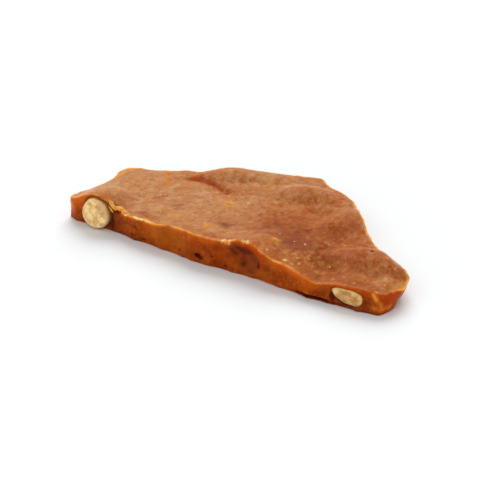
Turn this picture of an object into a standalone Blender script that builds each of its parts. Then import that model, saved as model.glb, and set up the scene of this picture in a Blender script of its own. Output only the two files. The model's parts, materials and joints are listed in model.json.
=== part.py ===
"""A broken slab of peanut brittle: caramel candy poured flat over peanuts, with nuts that show in its edges.

Lengths are in millimetres until a mesh is made, and in metres from there. X runs along the long front
edge, Y runs towards the back, and Z is up. The slab lies on Z = 0, with its middle over the origin.
"""

import math

import bmesh
import bpy
import numpy as np
from mathutils import Matrix, Vector
from mathutils.geometry import delaunay_2d_cdt
from mathutils.noise import noise, voronoi

MM = 0.001

# The slab
SLAB_THICKNESS = 7.1
SLAB_MIDDLE = (51.54, 24.64)
LOWER_EDGE_ROUND = 0.25

# The broken outline seen from above, anticlockwise from the left tip
OUTLINE = [
    (-3.2, 1.3),
    (0.0, 0.0),
    (4.0, -0.1),
    (9.0, 0.2),
    (12.5, 0.5),
    (18.0, 0.2),
    (26.0, -0.7),
    (36.5, -1.2),
    (44.0, -1.6),
    (52.0, -0.9),
    (58.0, -0.6),
    (66.0, -1.0),
    (78.0, -1.7),
    (88.0, -1.7),
    (97.0, -0.7),
    (102.6, 0.6),
    (105.4, 4.6),
    (106.1, 9.5),
    (103.6, 14.2),
    (97.5, 18.4),
    (89.5, 20.9),
    (83.0, 26.6),
    (76.0, 34.6),
    (67.0, 44.2),
    (56.0, 48.6),
    (50.5, 52.2),
    (40.8, 48.4),
    (33.0, 45.0),
    (25.5, 40.2),
    (20.0, 36.6),
    (16.6, 34.6),
    (8.0, 31.6),
    (1.2, 27.7),
    (-1.7, 27.2),
    (-0.6, 17.5),
    (-0.9, 8.0),
]
CORNER_ROUND = 0.7

# Height of the skin along the front edge: place along X, and height
FRONT_RIM = [
    (-3.2, 6.3),
    (0.0, 7.4),
    (4.5, 9.8),
    (8.0, 10.5),
    (10.6, 9.9),
    (12.8, 8.3),
    (15.5, 7.1),
    (18.5, 6.9),
    (24.0, 7.6),
    (29.5, 7.4),
    (36.5, 8.3),
    (44.0, 8.6),
    (50.5, 8.4),
    (54.0, 8.8),
    (57.5, 10.0),
    (61.5, 10.5),
    (64.5, 9.7),
    (70.5, 7.6),
    (77.5, 6.4),
    (81.0, 5.5),
    (84.5, 4.9),
    (88.0, 5.8),
    (91.0, 6.5),
    (101.0, 6.3),
    (107.0, 5.2),
]
FRONT_RIM_ROUND = 1.0
FRONT_RIM_REACH = 7.0

# The candy stands up over each nut and sinks between them:
# middle x and y, half length, half width, turn in degrees, and height above the slab
HUMPS = [
    (8.0, 4.0, 9.5, 9.2, 90.0, 3.4),
    (60.0, 4.0, 14.0, 9.5, 80.0, 2.2),
    (81.5, 3.5, 12.0, 7.5, 60.0, -2.4),
    (90.3, 13.2, 12.0, 9.2, 15.0, 3.6),
    (98.0, 20.5, 10.0, 5.5, -30.0, -2.2),
    (106.5, 10.5, 7.5, 9.0, 0.0, -2.4),
    (28.0, 38.8, 12.5, 7.0, 34.0, 2.1),
    (38.0, 44.0, 8.0, 5.5, 20.0, 0.9),
    (72.6, 30.0, 12.0, 8.0, 100.0, 2.5),
    (53.0, 39.5, 12.5, 7.5, 20.0, 2.3),
    (64.0, 31.0, 7.0, 6.0, 0.0, -0.8),
    (36.0, 28.0, 13.0, 6.5, 15.0, -0.7),
    (45.0, 13.0, 24.0, 12.0, -8.0, 0.6),
    (-3.0, 16.0, 6.0, 22.0, 0.0, -1.0),
    (6.0, 31.0, 13.0, 6.0, 20.0, -0.6),
]
WAVE_SIZE = 17.0
WAVE_HEIGHT = 0.45
WAVE_SLICE = 3.7

# The fold in front of the back hump, and the draw mark beside it: their points, width and depth
FOLD = ([(18.0, 30.2), (22.5, 31.2), (27.5, 30.8), (33.0, 29.0)], 1.2, 0.8)
DRAW_MARK = ([(11.8, 29.6), (14.2, 26.2), (16.6, 22.8)], 1.1, 0.4)

# The broken edge is a row of shallow scoops, as in broken glass, with long waves in it
SCOOP_SIZE = 7.5
SCOOP_DEPTH = 1.35
SCOOP_LEVEL = 0.17
EDGE_WAVE_SIZE = 9.0
EDGE_WAVE_HEIGHT = 0.35

# Where the foot of the edge is tucked in under the rim, or stands out if negative:
# middle x and y, reach, and how far in
TUCKS = [
    (107.0, 9.5, 7.5, 3.3),
    (102.8, 0.4, 2.6, -1.2),
    (82.0, -1.6, 6.0, 0.3),
    (52.0, -1.0, 14.0, -0.9),
    (97.0, -1.0, 6.0, -0.6),
    (-3.2, 1.3, 3.0, -0.6),
    (60.0, 47.0, 12.0, 1.2),
]
TUCK_BEND = 1.3

# Mesh spacing, and the shares of the edge's height that have a row of points
OUTLINE_STEP = 0.25
EDGE_STEP = 1.35
TOP_STEP = 1.42
BASE_STEP = 5.0
EDGE_ROWS = (0.0, 0.07, 0.3, 0.54, 0.78, 1.0)
CLEAR_OF_EDGE = 0.6

# Peanuts
NUT_GAP = 0.3
NUT_SIDES = 22
NUT_RINGS = 13
NUT_BLUNTNESS = 2.8
NUT_TAPER = 0.06
# Cut across: middle, length, width, height, the heading that the cut faces seen from above, tilt,
# and how far from the middle the cut is
CUT_PEANUTS = {
    "peanut_left_end": ((7.8, 2.6, 4.9), 13.5, 9.1, 9.4, -82.0, 0.0, 4.9),
    "peanut_back_right": ((73.6, 30.9, 4.2), 13.5, 8.2, 7.2, 48.0, 0.0, 4.6),
}
# Lying along the edge and split lengthwise: the same, with the heading and tilt of the length
SPLIT_PEANUTS = {
    "peanut_front_right": ((93.6, 0.9, 3.1), 9.5, 7.6, 5.0, 2.0, -2.0, 2.1),
    "peanut_back_left": ((32.6, 41.0, 3.8), 14.5, 8.6, 6.4, 27.0, 4.0, 3.2),
}
# How far the tail end of a nut leans back, for each millimetre of height
NUT_LEAN = {"peanut_front_right": 0.7}
# This one still has its red skin
SKINNED_PEANUT = "peanut_back_left"

# Hollows in the candy: middle and half sizes. The first is the print of a nut that came away
ROUND = 2.0
HOLLOWS = {
    "nut_print": ((60.4, -1.7, 5.3), (5.0, 3.4, 3.6)),
    "base_hollow": ((83.2, -2.3, 0.85), (5.4, 2.0, 0.45)),
    "bubble": ((45.4, -1.9, 2.0), (1.5, 1.7, 0.95)),
    "rim_chip": ((14.6, -0.8, 8.9), (2.6, 2.6, 2.3)),
    "rim_nick": ((34.2, -2.4, 8.4), (1.7, 1.6, 0.9)),
    "back_bubble": ((60.5, 47.8, 2.8), (1.8, 1.8, 1.2)),
}

# Surface finishes: name, linear colour and roughness
CANDY = ("caramel_candy", (0.42, 0.12, 0.025), 0.38)
NUT_FLESH = ("roasted_peanut", (0.72, 0.47, 0.22), 0.6)
NUT_SKIN = ("peanut_skin", (0.17, 0.045, 0.02), 0.5)
CANDY_CREASE = 35.0
NUT_CREASE = 40.0


def clear_scene():
    for old in list(bpy.data.objects):
        bpy.data.objects.remove(old, do_unlink=True)


def finish(name, colour, roughness):
    """A plain Principled surface."""
    material = bpy.data.materials.new(name)
    material.use_nodes = True
    shader = material.node_tree.nodes["Principled BSDF"]
    shader.inputs["Base Color"].default_value = (*colour, 1.0)
    shader.inputs["Roughness"].default_value = roughness
    shader.inputs["Metallic"].default_value = 0.0
    return material


def add_object(name, mesh, material, crease):
    """Puts a mesh in the scene, smooth where it bends less than the crease angle in degrees."""
    mesh.materials.append(material)
    mesh.shade_smooth()
    mesh.set_sharp_from_angle(angle=math.radians(crease))
    made = bpy.data.objects.new(name, mesh)
    bpy.context.scene.collection.objects.link(made)
    return made


def placed(point):
    """A point of the slab in metres, with the slab's middle over the origin."""
    return (point[0] - SLAB_MIDDLE[0]) * MM, (point[1] - SLAB_MIDDLE[1]) * MM, point[2] * MM


def turned(x, y, middle, degrees):
    """Offsets from middle, along and across a direction that many degrees from X."""
    turn = math.radians(degrees)
    dx, dy = x - middle[0], y - middle[1]
    return dx * math.cos(turn) + dy * math.sin(turn), dy * math.cos(turn) - dx * math.sin(turn)


def distance_to_line(x, y, points):
    """Distance in plan from (x, y) to an open run of straight pieces."""
    best = math.inf
    for (ax, ay), (bx, by) in zip(points, points[1:]):
        run = (bx - ax) ** 2 + (by - ay) ** 2
        share = min(1.0, max(0.0, ((x - ax) * (bx - ax) + (y - ay) * (by - ay)) / run))
        best = min(best, math.hypot(x - ax - share * (bx - ax), y - ay - share * (by - ay)))
    return best


def smoothed(values, reach, closed):
    """Rows of values averaged with their neighbours, under a bell that reaches that many rows."""
    span = int(3 * reach)
    padded = np.pad(values, ((span, span), (0, 0)), mode="wrap" if closed else "edge")
    weights = np.exp(-((np.arange(-span, span + 1) / reach) ** 2) / 2)
    columns = [np.convolve(column, weights / weights.sum(), mode="valid") for column in padded.T]
    return np.column_stack(columns)


def rim_profile():
    """The front rim's heights, close together and without corners."""
    corners = np.array(FRONT_RIM)
    places = np.arange(corners[0, 0], corners[-1, 0], OUTLINE_STEP)
    heights = np.interp(places, corners[:, 0], corners[:, 1])
    return places, smoothed(heights[:, None], FRONT_RIM_ROUND / OUTLINE_STEP, False)[:, 0]


RIM_PLACES, RIM_HEIGHTS = rim_profile()


def top_height(x, y):
    """Height of the slab's upper skin over a point."""
    height = SLAB_THICKNESS + WAVE_HEIGHT * noise(Vector((x / WAVE_SIZE, y / WAVE_SIZE, WAVE_SLICE)))
    for hump_x, hump_y, half_length, half_width, degrees, rise in HUMPS:
        along, across = turned(x, y, (hump_x, hump_y), degrees)
        spread = (along / half_length) ** 2 + (across / half_width) ** 2
        if spread < 1.0:
            height += rise * (1.0 - spread) ** 2
    for points, width, depth in (FOLD, DRAW_MARK):
        height -= depth * math.exp(-((distance_to_line(x, y, points) / width) ** 2))
    nearness = math.exp(-((max(0.0, y) / FRONT_RIM_REACH) ** 2))
    return height + nearness * (np.interp(x, RIM_PLACES, RIM_HEIGHTS) - height)


def edge_offset(x, y, z, share):
    """How far the broken edge stands out from the outline, at a share of the way up from its foot."""
    near = voronoi(Vector((x, y, z)) / SCOOP_SIZE)[0][0]
    scoop = SCOOP_DEPTH * (near**2 - SCOOP_LEVEL)
    wave = EDGE_WAVE_HEIGHT * noise(Vector((x, y, z)) / EDGE_WAVE_SIZE)
    tuck = 0.0
    for middle_x, middle_y, reach, depth in TUCKS:
        tuck += depth * math.exp(-((x - middle_x) ** 2 + (y - middle_y) ** 2) / reach**2)
    rounding = LOWER_EDGE_ROUND if share == 0.0 else 0.0
    return scoop + wave - tuck * (1.0 - share) ** TUCK_BEND - rounding


def resampled(points, step):
    """Points about step apart along a closed outline."""
    corners = np.array(points + points[:1])
    along = np.concatenate([[0.0], np.cumsum(np.linalg.norm(np.diff(corners, axis=0), axis=1))])
    count = round(along[-1] / step)
    places = np.arange(count) * along[-1] / count
    return np.column_stack([np.interp(places, along, corners[:, axis]) for axis in (0, 1)])


def outline_ring():
    """Points round the slab and their outward directions, with the corners rounded."""
    rounded = smoothed(resampled(OUTLINE, OUTLINE_STEP), CORNER_ROUND / OUTLINE_STEP, True)
    ring = resampled([tuple(point) for point in rounded], EDGE_STEP)
    heading = np.roll(ring, -1, axis=0) - np.roll(ring, 1, axis=0)
    heading /= np.linalg.norm(heading, axis=1)[:, None]
    return ring, np.column_stack([heading[:, 1], -heading[:, 0]])


def inside(loop, x, y):
    """Whether a point lies within a closed loop in plan."""
    ends = np.roll(loop, -1, axis=0)
    crossed = (loop[:, 1] > y) != (ends[:, 1] > y)
    rise = np.where(crossed, ends[:, 1] - loop[:, 1], 1.0)
    at = loop[:, 0] + (y - loop[:, 1]) * (ends[:, 0] - loop[:, 0]) / rise
    return np.count_nonzero(crossed & (at > x)) % 2 == 1


def filling_points(loop, step):
    """Points of a triangular grid that lie inside a loop, clear of its line."""
    low, high = loop.min(axis=0), loop.max(axis=0)
    row_step = step * math.sqrt(0.75)
    found = []
    for row in range(1, int((high[1] - low[1]) / row_step) + 1):
        y = low[1] + row * row_step
        for column in range(int((high[0] - low[0]) / step) + 1):
            x = low[0] + (column + 0.5 * (row % 2)) * step
            clear = np.hypot(loop[:, 0] - x, loop[:, 1] - y).min() > CLEAR_OF_EDGE * step
            if clear and inside(loop, x, y):
                found.append((x, y))
    return found


def capped(loop, step):
    """Points and triangles that fill a loop. The loop's own points come first."""
    points = [Vector(point) for point in [*loop, *filling_points(loop, step)]]
    made, _, triangles, *_ = delaunay_2d_cdt(points, [], [list(range(len(loop)))], 0, 1e-7, False)
    kept = []
    for triangle in triangles:
        middle = sum((made[k] for k in triangle), Vector((0.0, 0.0))) / 3
        if inside(loop, middle.x, middle.y):
            kept.append(triangle)
    return made, kept


def edge_rows():
    """Rows of points round the broken edge, from its foot up to the rim."""
    ring, outward = outline_ring()
    rows = []
    for share in EDGE_ROWS:
        row = []
        for (x, y), (nx, ny) in zip(ring, outward):
            rim = top_height(x, y)
            out = edge_offset(x, y, share * rim, share)
            px, py = x + out * nx, y + out * ny
            row.append((px, py, top_height(px, py) if share == 1.0 else share * rim))
        rows.append(row)
    return rows


def candy_mesh():
    """The candy as one closed mesh: a broken edge round it, the wavy top skin and the flat base."""
    rows = edge_rows()
    count = len(rows[0])
    points = [point for row in rows for point in row]
    faces = []
    for first in range(0, len(points) - count, count):
        for i in range(count):
            j = (i + 1) % count
            faces.append((first + i, first + j, first + count + j, first + count + i))
    made, triangles = capped(np.array(rows[-1])[:, :2], TOP_STEP)
    faces += [[len(points) - count + k for k in triangle] for triangle in triangles]
    points += [(point.x, point.y, top_height(point.x, point.y)) for point in made[count:]]
    made, triangles = capped(np.array(rows[0])[:, :2], BASE_STEP)
    skip = len(points) - count
    faces += [[k if k < count else skip + k for k in reversed(triangle)] for triangle in triangles]
    points += [(point.x, point.y, 0.0) for point in made[count:]]
    mesh = bpy.data.meshes.new("candy_slab")
    mesh.from_pydata([placed(point) for point in points], [], faces)
    mesh.update()
    return mesh


def egg(name, half_sizes, heading, tilt, middle, bluntness, lean=0.0):
    """A closed egg in its place, whose wide end leads along its heading. Bluntness 2 is an ellipsoid."""
    shape = bmesh.new()
    bmesh.ops.create_uvsphere(shape, u_segments=NUT_SIDES, v_segments=NUT_RINGS, radius=1.0)
    bmesh.ops.rotate(shape, verts=shape.verts, matrix=Matrix.Rotation(math.pi / 2, 3, "Y"))
    for vert in shape.verts:
        x, y, z = vert.co
        along = math.copysign(abs(x) ** (2 / bluntness), x)
        radius = max(math.hypot(y, z), 1e-6)
        wide = radius ** (2 / bluntness - 1) * (1.0 + NUT_TAPER * along)
        up = z * wide * half_sizes[2]
        back = lean * up * (1.0 - along) / 2
        vert.co = (along * half_sizes[0] - back, y * wide * half_sizes[1], up)
    turn = Matrix.Rotation(math.radians(heading), 4, "Z") @ Matrix.Rotation(math.radians(-tilt), 4, "Y")
    shape.transform(Matrix.Translation(placed(middle)) @ turn @ Matrix.Scale(MM, 4))
    mesh = bpy.data.meshes.new(name)
    shape.to_mesh(mesh)
    shape.free()
    return mesh


def cut_flat(mesh, point, outward):
    """Cuts off what lies outside a plane and closes the cut."""
    shape = bmesh.new()
    shape.from_mesh(mesh)
    geometry = [*shape.verts, *shape.edges, *shape.faces]
    cut = bmesh.ops.bisect_plane(
        shape, geom=geometry, dist=1e-7, plane_co=placed(point), plane_no=outward, clear_outer=True
    )
    rim = [edge for edge in cut["geom_cut"] if isinstance(edge, bmesh.types.BMEdge)]
    cap = bmesh.ops.contextual_create(shape, geom=rim)["faces"]
    bmesh.ops.poke(shape, faces=cap)
    bmesh.ops.recalc_face_normals(shape, faces=shape.faces)
    shape.to_mesh(mesh)
    shape.free()


def cut_out(target, name, mesh):
    """Cuts one shape out of the target."""
    cutter = bpy.data.objects.new(name, mesh)
    bpy.context.scene.collection.objects.link(cutter)
    cutter.hide_render = True
    cutter.display_type = "WIRE"
    cut = target.modifiers.new(name, "BOOLEAN")
    cut.operation = "DIFFERENCE"
    cut.solver = "EXACT"
    cut.object = cutter


def add_peanuts(candy, flesh, skin):
    """Each nut, cut or split where the slab broke, and its socket in the candy."""
    for name, (middle, *sizes, heading, tilt, cut) in {**CUT_PEANUTS, **SPLIT_PEANUTS}.items():
        side = math.radians(heading)
        if name in SPLIT_PEANUTS:
            side += math.copysign(math.pi / 2, middle[1] - SLAB_MIDDLE[1])
        outward = Vector((math.cos(side), math.sin(side), 0.0))
        lean = NUT_LEAN.get(name, 0.0)
        nut = egg(name, [size / 2 for size in sizes], heading, tilt, middle, NUT_BLUNTNESS, lean)
        cut_flat(nut, Vector(middle) + cut * outward, outward)
        add_object(name, nut, skin if name == SKINNED_PEANUT else flesh, NUT_CREASE)
        grown = [size / 2 + NUT_GAP for size in sizes]
        socket = name + "_socket"
        cut_out(candy, socket, egg(socket, grown, heading, tilt, middle, NUT_BLUNTNESS, lean))


def main():
    clear_scene()
    candy = add_object("candy_slab", candy_mesh(), finish(*CANDY), CANDY_CREASE)
    add_peanuts(candy, finish(*NUT_FLESH), finish(*NUT_SKIN))
    for name, (middle, half_sizes) in HOLLOWS.items():
        cut_out(candy, name, egg(name, half_sizes, 0.0, 0.0, middle, ROUND))


main()
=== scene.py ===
# %% [markdown]
# # A broken slab of peanut brittle
#
# Peanut brittle is sugar and syrup boiled to a caramel, stirred over roasted peanuts and poured out flat.
# Its top sets in the air as a satin skin. When the cold sheet is snapped, the broken edge is as glassy as
# amber, and nuts show in it where the break ran through them.
#
# This notebook dresses one such slab, about 109 mm long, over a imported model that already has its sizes.
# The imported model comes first, because everything is placed in its frame. Its box is kept from the start,
# to compare with at the end.

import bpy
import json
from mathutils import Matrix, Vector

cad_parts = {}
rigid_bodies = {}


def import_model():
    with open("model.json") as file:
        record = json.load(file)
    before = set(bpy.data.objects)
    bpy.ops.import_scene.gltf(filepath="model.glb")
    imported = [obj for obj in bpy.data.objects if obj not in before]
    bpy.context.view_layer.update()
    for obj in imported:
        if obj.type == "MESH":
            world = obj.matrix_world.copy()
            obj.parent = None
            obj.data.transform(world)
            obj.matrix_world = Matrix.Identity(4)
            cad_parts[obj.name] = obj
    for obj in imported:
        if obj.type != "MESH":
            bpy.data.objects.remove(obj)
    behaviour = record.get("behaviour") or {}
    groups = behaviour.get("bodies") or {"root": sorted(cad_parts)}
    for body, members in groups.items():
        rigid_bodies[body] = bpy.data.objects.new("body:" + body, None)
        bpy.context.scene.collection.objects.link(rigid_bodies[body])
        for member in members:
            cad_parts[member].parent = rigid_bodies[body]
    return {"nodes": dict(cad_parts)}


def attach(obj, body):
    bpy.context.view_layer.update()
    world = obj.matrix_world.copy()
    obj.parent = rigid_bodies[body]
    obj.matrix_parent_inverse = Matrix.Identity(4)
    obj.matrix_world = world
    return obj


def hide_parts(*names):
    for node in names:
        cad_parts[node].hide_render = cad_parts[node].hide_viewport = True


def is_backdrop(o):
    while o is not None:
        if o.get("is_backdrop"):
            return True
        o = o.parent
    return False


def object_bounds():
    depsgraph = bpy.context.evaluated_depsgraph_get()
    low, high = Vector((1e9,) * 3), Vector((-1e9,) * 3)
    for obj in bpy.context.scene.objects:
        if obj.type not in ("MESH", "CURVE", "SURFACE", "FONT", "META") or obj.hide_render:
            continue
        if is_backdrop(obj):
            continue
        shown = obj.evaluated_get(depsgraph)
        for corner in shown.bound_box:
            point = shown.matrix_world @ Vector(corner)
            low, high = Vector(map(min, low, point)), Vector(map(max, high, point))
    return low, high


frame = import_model()
cad_low, cad_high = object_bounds()
print("packed nodes:", sorted(frame["nodes"]))
print("box in mm:", [round(1000 * side, 1) for side in cad_high - cad_low])

# %% [markdown]
# ## Working units and smooth noise
#
# The slab is drawn in millimetres on its own axes: X runs along the long front edge, Y towards the back and
# Z up. One function puts such points in Blender's metres, with the slab's middle over the origin.
#
# Candy has no straight lines, so most of its shape is smooth noise. Blender's own noise takes one point at
# a time, so it is wrapped to take arrays, with the size of its lumps given in millimetres.

# %% Units and noise
import json
import math
import random

import bmesh
import bpy
import numpy as np
from mathutils import Matrix, Vector
from mathutils.geometry import delaunay_2d_cdt
from mathutils.kdtree import KDTree
from mathutils.noise import noise, voronoi

MM = 0.001
SLAB_MIDDLE = (51.54, 24.64, 0.0)


def placed(points):
    """Points of the slab, in millimetres, as points of the scene in metres."""
    return (np.asarray(points, float) - SLAB_MIDDLE) * MM


def lumps(x, y, z, size):
    """Smooth noise from about -1 to 1, in lumps of that many millimetres. Another z gives other lumps."""
    x, y, z = np.broadcast_arrays(x, y, z)
    points = np.column_stack([x.ravel(), y.ravel(), z.ravel()]) / size
    return np.array([noise(Vector(point)) for point in points]).reshape(x.shape)


def uneven(x, y, z, size, swing):
    """A factor of about 1 that goes up and down by a swing, in lumps of that size."""
    return 1.0 + swing * lumps(x, y, z, size)


def cells(x, y, z, size):
    """Distance to the nearest of a scatter of points that lie about size millimetres apart, over size."""
    points = np.column_stack([x.ravel(), y.ravel(), z.ravel()]) / size
    return np.array([voronoi(Vector(point))[0][0] for point in points]).reshape(x.shape)


def turned(x, y, middle, degrees):
    """Offsets from middle, along and across a direction that many degrees from X."""
    turn = math.radians(degrees)
    dx, dy = x - middle[0], y - middle[1]
    return dx * math.cos(turn) + dy * math.sin(turn), dy * math.cos(turn) - dx * math.sin(turn)


def distance_to_line(x, y, points):
    """Distance in plan from each (x, y) to an open run of straight pieces."""
    best = np.full(np.shape(x), np.inf)
    for (ax, ay), (bx, by) in zip(points, points[1:]):
        run = (bx - ax) ** 2 + (by - ay) ** 2
        share = np.clip(((x - ax) * (bx - ax) + (y - ay) * (by - ay)) / run, 0.0, 1.0)
        best = np.minimum(best, np.hypot(x - ax - share * (bx - ax), y - ay - share * (by - ay)))
    return best


def smoothed(values, reach, closed):
    """Rows of values averaged with their neighbours, under a bell that reaches that many rows."""
    span = int(3 * reach)
    padded = np.pad(values, ((span, span), (0, 0)), mode="wrap" if closed else "edge")
    weights = np.exp(-((np.arange(-span, span + 1) / reach) ** 2) / 2)
    columns = [np.convolve(column, weights / weights.sum(), mode="valid") for column in padded.T]
    return np.column_stack(columns)


def ramp(values, start, end):
    """From 0 at start to 1 at end, easing in and out."""
    share = np.clip((values - start) / (end - start), 0.0, 1.0)
    return share * share * (3.0 - 2.0 * share)


def stretches(x, y, z, size, start=-0.2, end=0.3):
    """From 0 to 1 in stretches of that size: 0 where the noise is below start and 1 above end."""
    return ramp(lumps(x, y, z, size), start, end)


print("the slab's middle lies in the scene at", placed(SLAB_MIDDLE).tolist())

# %% [markdown]
# ## The form of the slab
#
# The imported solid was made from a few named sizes: the broken outline, the heights of the skin along the
# front edge, a hump for each nut that lies under the skin, a fold, and how far the foot of the edge is
# tucked in. The dressed slab is made again from the same sizes on a mesh about five times finer, so that it
# keeps the solid's form and still has room for small relief.

# %% Outline and rim
SLAB_THICKNESS = 7.1

# The broken outline seen from above, anticlockwise from the left tip
OUTLINE = [
    (-3.2, 1.3),
    (0.0, 0.0),
    (4.0, -0.1),
    (9.0, 0.2),
    (12.5, 0.5),
    (18.0, 0.2),
    (26.0, -0.7),
    (36.5, -1.2),
    (44.0, -1.6),
    (52.0, -0.9),
    (58.0, -0.6),
    (66.0, -1.0),
    (78.0, -1.7),
    (88.0, -1.7),
    (97.0, -0.7),
    (102.6, 0.6),
    (105.4, 4.6),
    (106.1, 9.5),
    (103.6, 14.2),
    (97.5, 18.4),
    (89.5, 20.9),
    (83.0, 26.6),
    (76.0, 34.6),
    (67.0, 44.2),
    (56.0, 48.6),
    (50.5, 52.2),
    (40.8, 48.4),
    (33.0, 45.0),
    (25.5, 40.2),
    (20.0, 36.6),
    (16.6, 34.6),
    (8.0, 31.6),
    (1.2, 27.7),
    (-1.7, 27.2),
    (-0.6, 17.5),
    (-0.9, 8.0),
]
# How far the outline's corners are rounded
CORNER_ROUND = 0.7

# Height of the skin along the front edge: place along X, and height
FRONT_RIM = [
    (-3.2, 6.3),
    (0.0, 7.4),
    (4.5, 9.8),
    (8.0, 10.5),
    (10.6, 9.9),
    (12.8, 8.3),
    (15.5, 7.1),
    (18.5, 6.9),
    (24.0, 7.6),
    (29.5, 7.4),
    (36.5, 8.3),
    (44.0, 8.6),
    (50.5, 8.4),
    (54.0, 8.8),
    (57.5, 10.0),
    (61.5, 10.5),
    (64.5, 9.7),
    (70.5, 7.6),
    (77.5, 6.4),
    (81.0, 5.5),
    (84.5, 4.9),
    (88.0, 5.8),
    (91.0, 6.5),
    (101.0, 6.3),
    (107.0, 5.2),
]
FRONT_RIM_ROUND = 1.0
# How far back the front rim's heights still shape the skin
FRONT_RIM_REACH = 7.0
RIM_STEP = 0.25

rim_corners = np.array(FRONT_RIM)
RIM_PLACES = np.arange(rim_corners[0, 0], rim_corners[-1, 0], RIM_STEP)
rim_heights = np.interp(RIM_PLACES, rim_corners[:, 0], rim_corners[:, 1])
RIM_HEIGHTS = smoothed(rim_heights[:, None], FRONT_RIM_ROUND / RIM_STEP, False)[:, 0]
print("outline in mm:", np.ptp(OUTLINE, axis=0).round(1), "highest rim:", RIM_HEIGHTS.max().round(1))

# %% [markdown]
# ## The skin
#
# Nuts under the skin lift it, and it sinks between them. A fold lies in front of the back hump, where the
# sheet was pulled while it was still soft.

# %% Humps and folds of the skin
# Middle x and y, half length, half width, turn in degrees, and height above the slab
HUMPS = [
    (8.0, 4.0, 9.5, 9.2, 90.0, 3.4),
    (60.0, 4.0, 14.0, 9.5, 80.0, 2.2),
    (81.5, 3.5, 12.0, 7.5, 60.0, -2.4),
    (90.3, 13.2, 12.0, 9.2, 15.0, 3.6),
    (98.0, 20.5, 10.0, 5.5, -30.0, -2.2),
    (106.5, 10.5, 7.5, 9.0, 0.0, -2.4),
    (28.0, 38.8, 12.5, 7.0, 34.0, 2.1),
    (38.0, 44.0, 8.0, 5.5, 20.0, 0.9),
    (72.6, 30.0, 12.0, 8.0, 100.0, 2.5),
    (53.0, 39.5, 12.5, 7.5, 20.0, 2.3),
    (64.0, 31.0, 7.0, 6.0, 0.0, -0.8),
    (36.0, 28.0, 13.0, 6.5, 15.0, -0.7),
    (45.0, 13.0, 24.0, 12.0, -8.0, 0.6),
    (-3.0, 16.0, 6.0, 22.0, 0.0, -1.0),
    (6.0, 31.0, 13.0, 6.0, 20.0, -0.6),
]
# Long waves over the whole sheet. The slice picks one set of waves out of the noise
WAVE_SIZE = 17.0
WAVE_HEIGHT = 0.45
WAVE_SLICE = 3.7

# Points, width and depth
FOLD = ([(18.0, 30.2), (22.5, 31.2), (27.5, 30.8), (33.0, 29.0)], 1.2, 0.8)
DRAW_MARK = ([(11.8, 29.6), (14.2, 26.2), (16.6, 22.8)], 1.1, 0.4)


def top_height(x, y):
    """Height of the slab's upper skin, without its fine relief."""
    x, y = np.broadcast_arrays(np.asarray(x, float), np.asarray(y, float))
    height = SLAB_THICKNESS + WAVE_HEIGHT * lumps(x, y, WAVE_SLICE * WAVE_SIZE, WAVE_SIZE)
    for hump_x, hump_y, half_length, half_width, degrees, rise in HUMPS:
        along, across = turned(x, y, (hump_x, hump_y), degrees)
        spread = (along / half_length) ** 2 + (across / half_width) ** 2
        height += rise * np.clip(1.0 - spread, 0.0, None) ** 2
    for points, width, depth in (FOLD, DRAW_MARK):
        height -= depth * np.exp(-((distance_to_line(x, y, points) / width) ** 2))
    nearness = np.exp(-((np.clip(y, 0.0, None) / FRONT_RIM_REACH) ** 2))
    return height + nearness * (np.interp(x, RIM_PLACES, RIM_HEIGHTS) - height)


LEFT_NUT_AND_VALLEY = ([8.0, 81.5], [3.0, 4.0])
print("skin height in mm over the left nut and in the valley:", top_height(*LEFT_NUT_AND_VALLEY).round(1))

# %% [markdown]
# The skin also has relief of a few hundredths of a millimetre, which a satin surface shows at once: soft
# dimples all over, ring-shaped ripples where the soft candy was drawn out, short wrinkles in the valley,
# and a crumpled strip along the right end.

# %% Fine relief of the skin
# Height and size of the dimples
DIMPLES = [(0.10, 4.2), (0.05, 1.7), (0.022, 0.8)]
# Middle, half sizes, turn, height, spacing as a share of the half sizes, and width of the band of rings
DRAWN_RINGS = [
    ((11.0, 15.8), (6.6, 8.4), 20.0, 0.055, 0.30, 0.40),
    ((92.0, 11.5), (5.0, 4.2), 15.0, 0.035, 0.26, 0.55),
]
# How far the rings stray from ovals, and where the strongest one lies, both as a share of the half sizes
RING_STRAY = 0.16
RING_PEAK = 0.85
# A bubble that stayed under the skin: middle, radius, height, and depth of the groove round it
BLISTER = ((75.9, 13.7), 1.1, 0.32, 0.16)
# Where the groove lies and how wide it is, as a share of the blister's radius
GROOVE_PLACE = 1.1
GROOVE_WIDTH = 0.25
# Middle, half sizes, turn, height and spacing in millimetres
WRINKLES = [
    ((75.2, 4.9), (3.4, 1.5), 19.0, 0.06, 0.95),
    ((78.0, 2.4), (2.2, 1.1), 30.0, 0.06, 0.8),
    ((88.0, 8.4), (3.5, 1.8), 60.0, 0.04, 1.1),
    ((53.0, 14.0), (6.0, 3.0), 30.0, 0.02, 1.3),
]
WRINKLE_WANDER = 3.5
CRUMPLE_START = 93.0
CRUMPLE_FULL = 102.0
CRUMPLE_HEIGHT = 0.16
CRUMPLE_SIZE = 1.5


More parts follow.
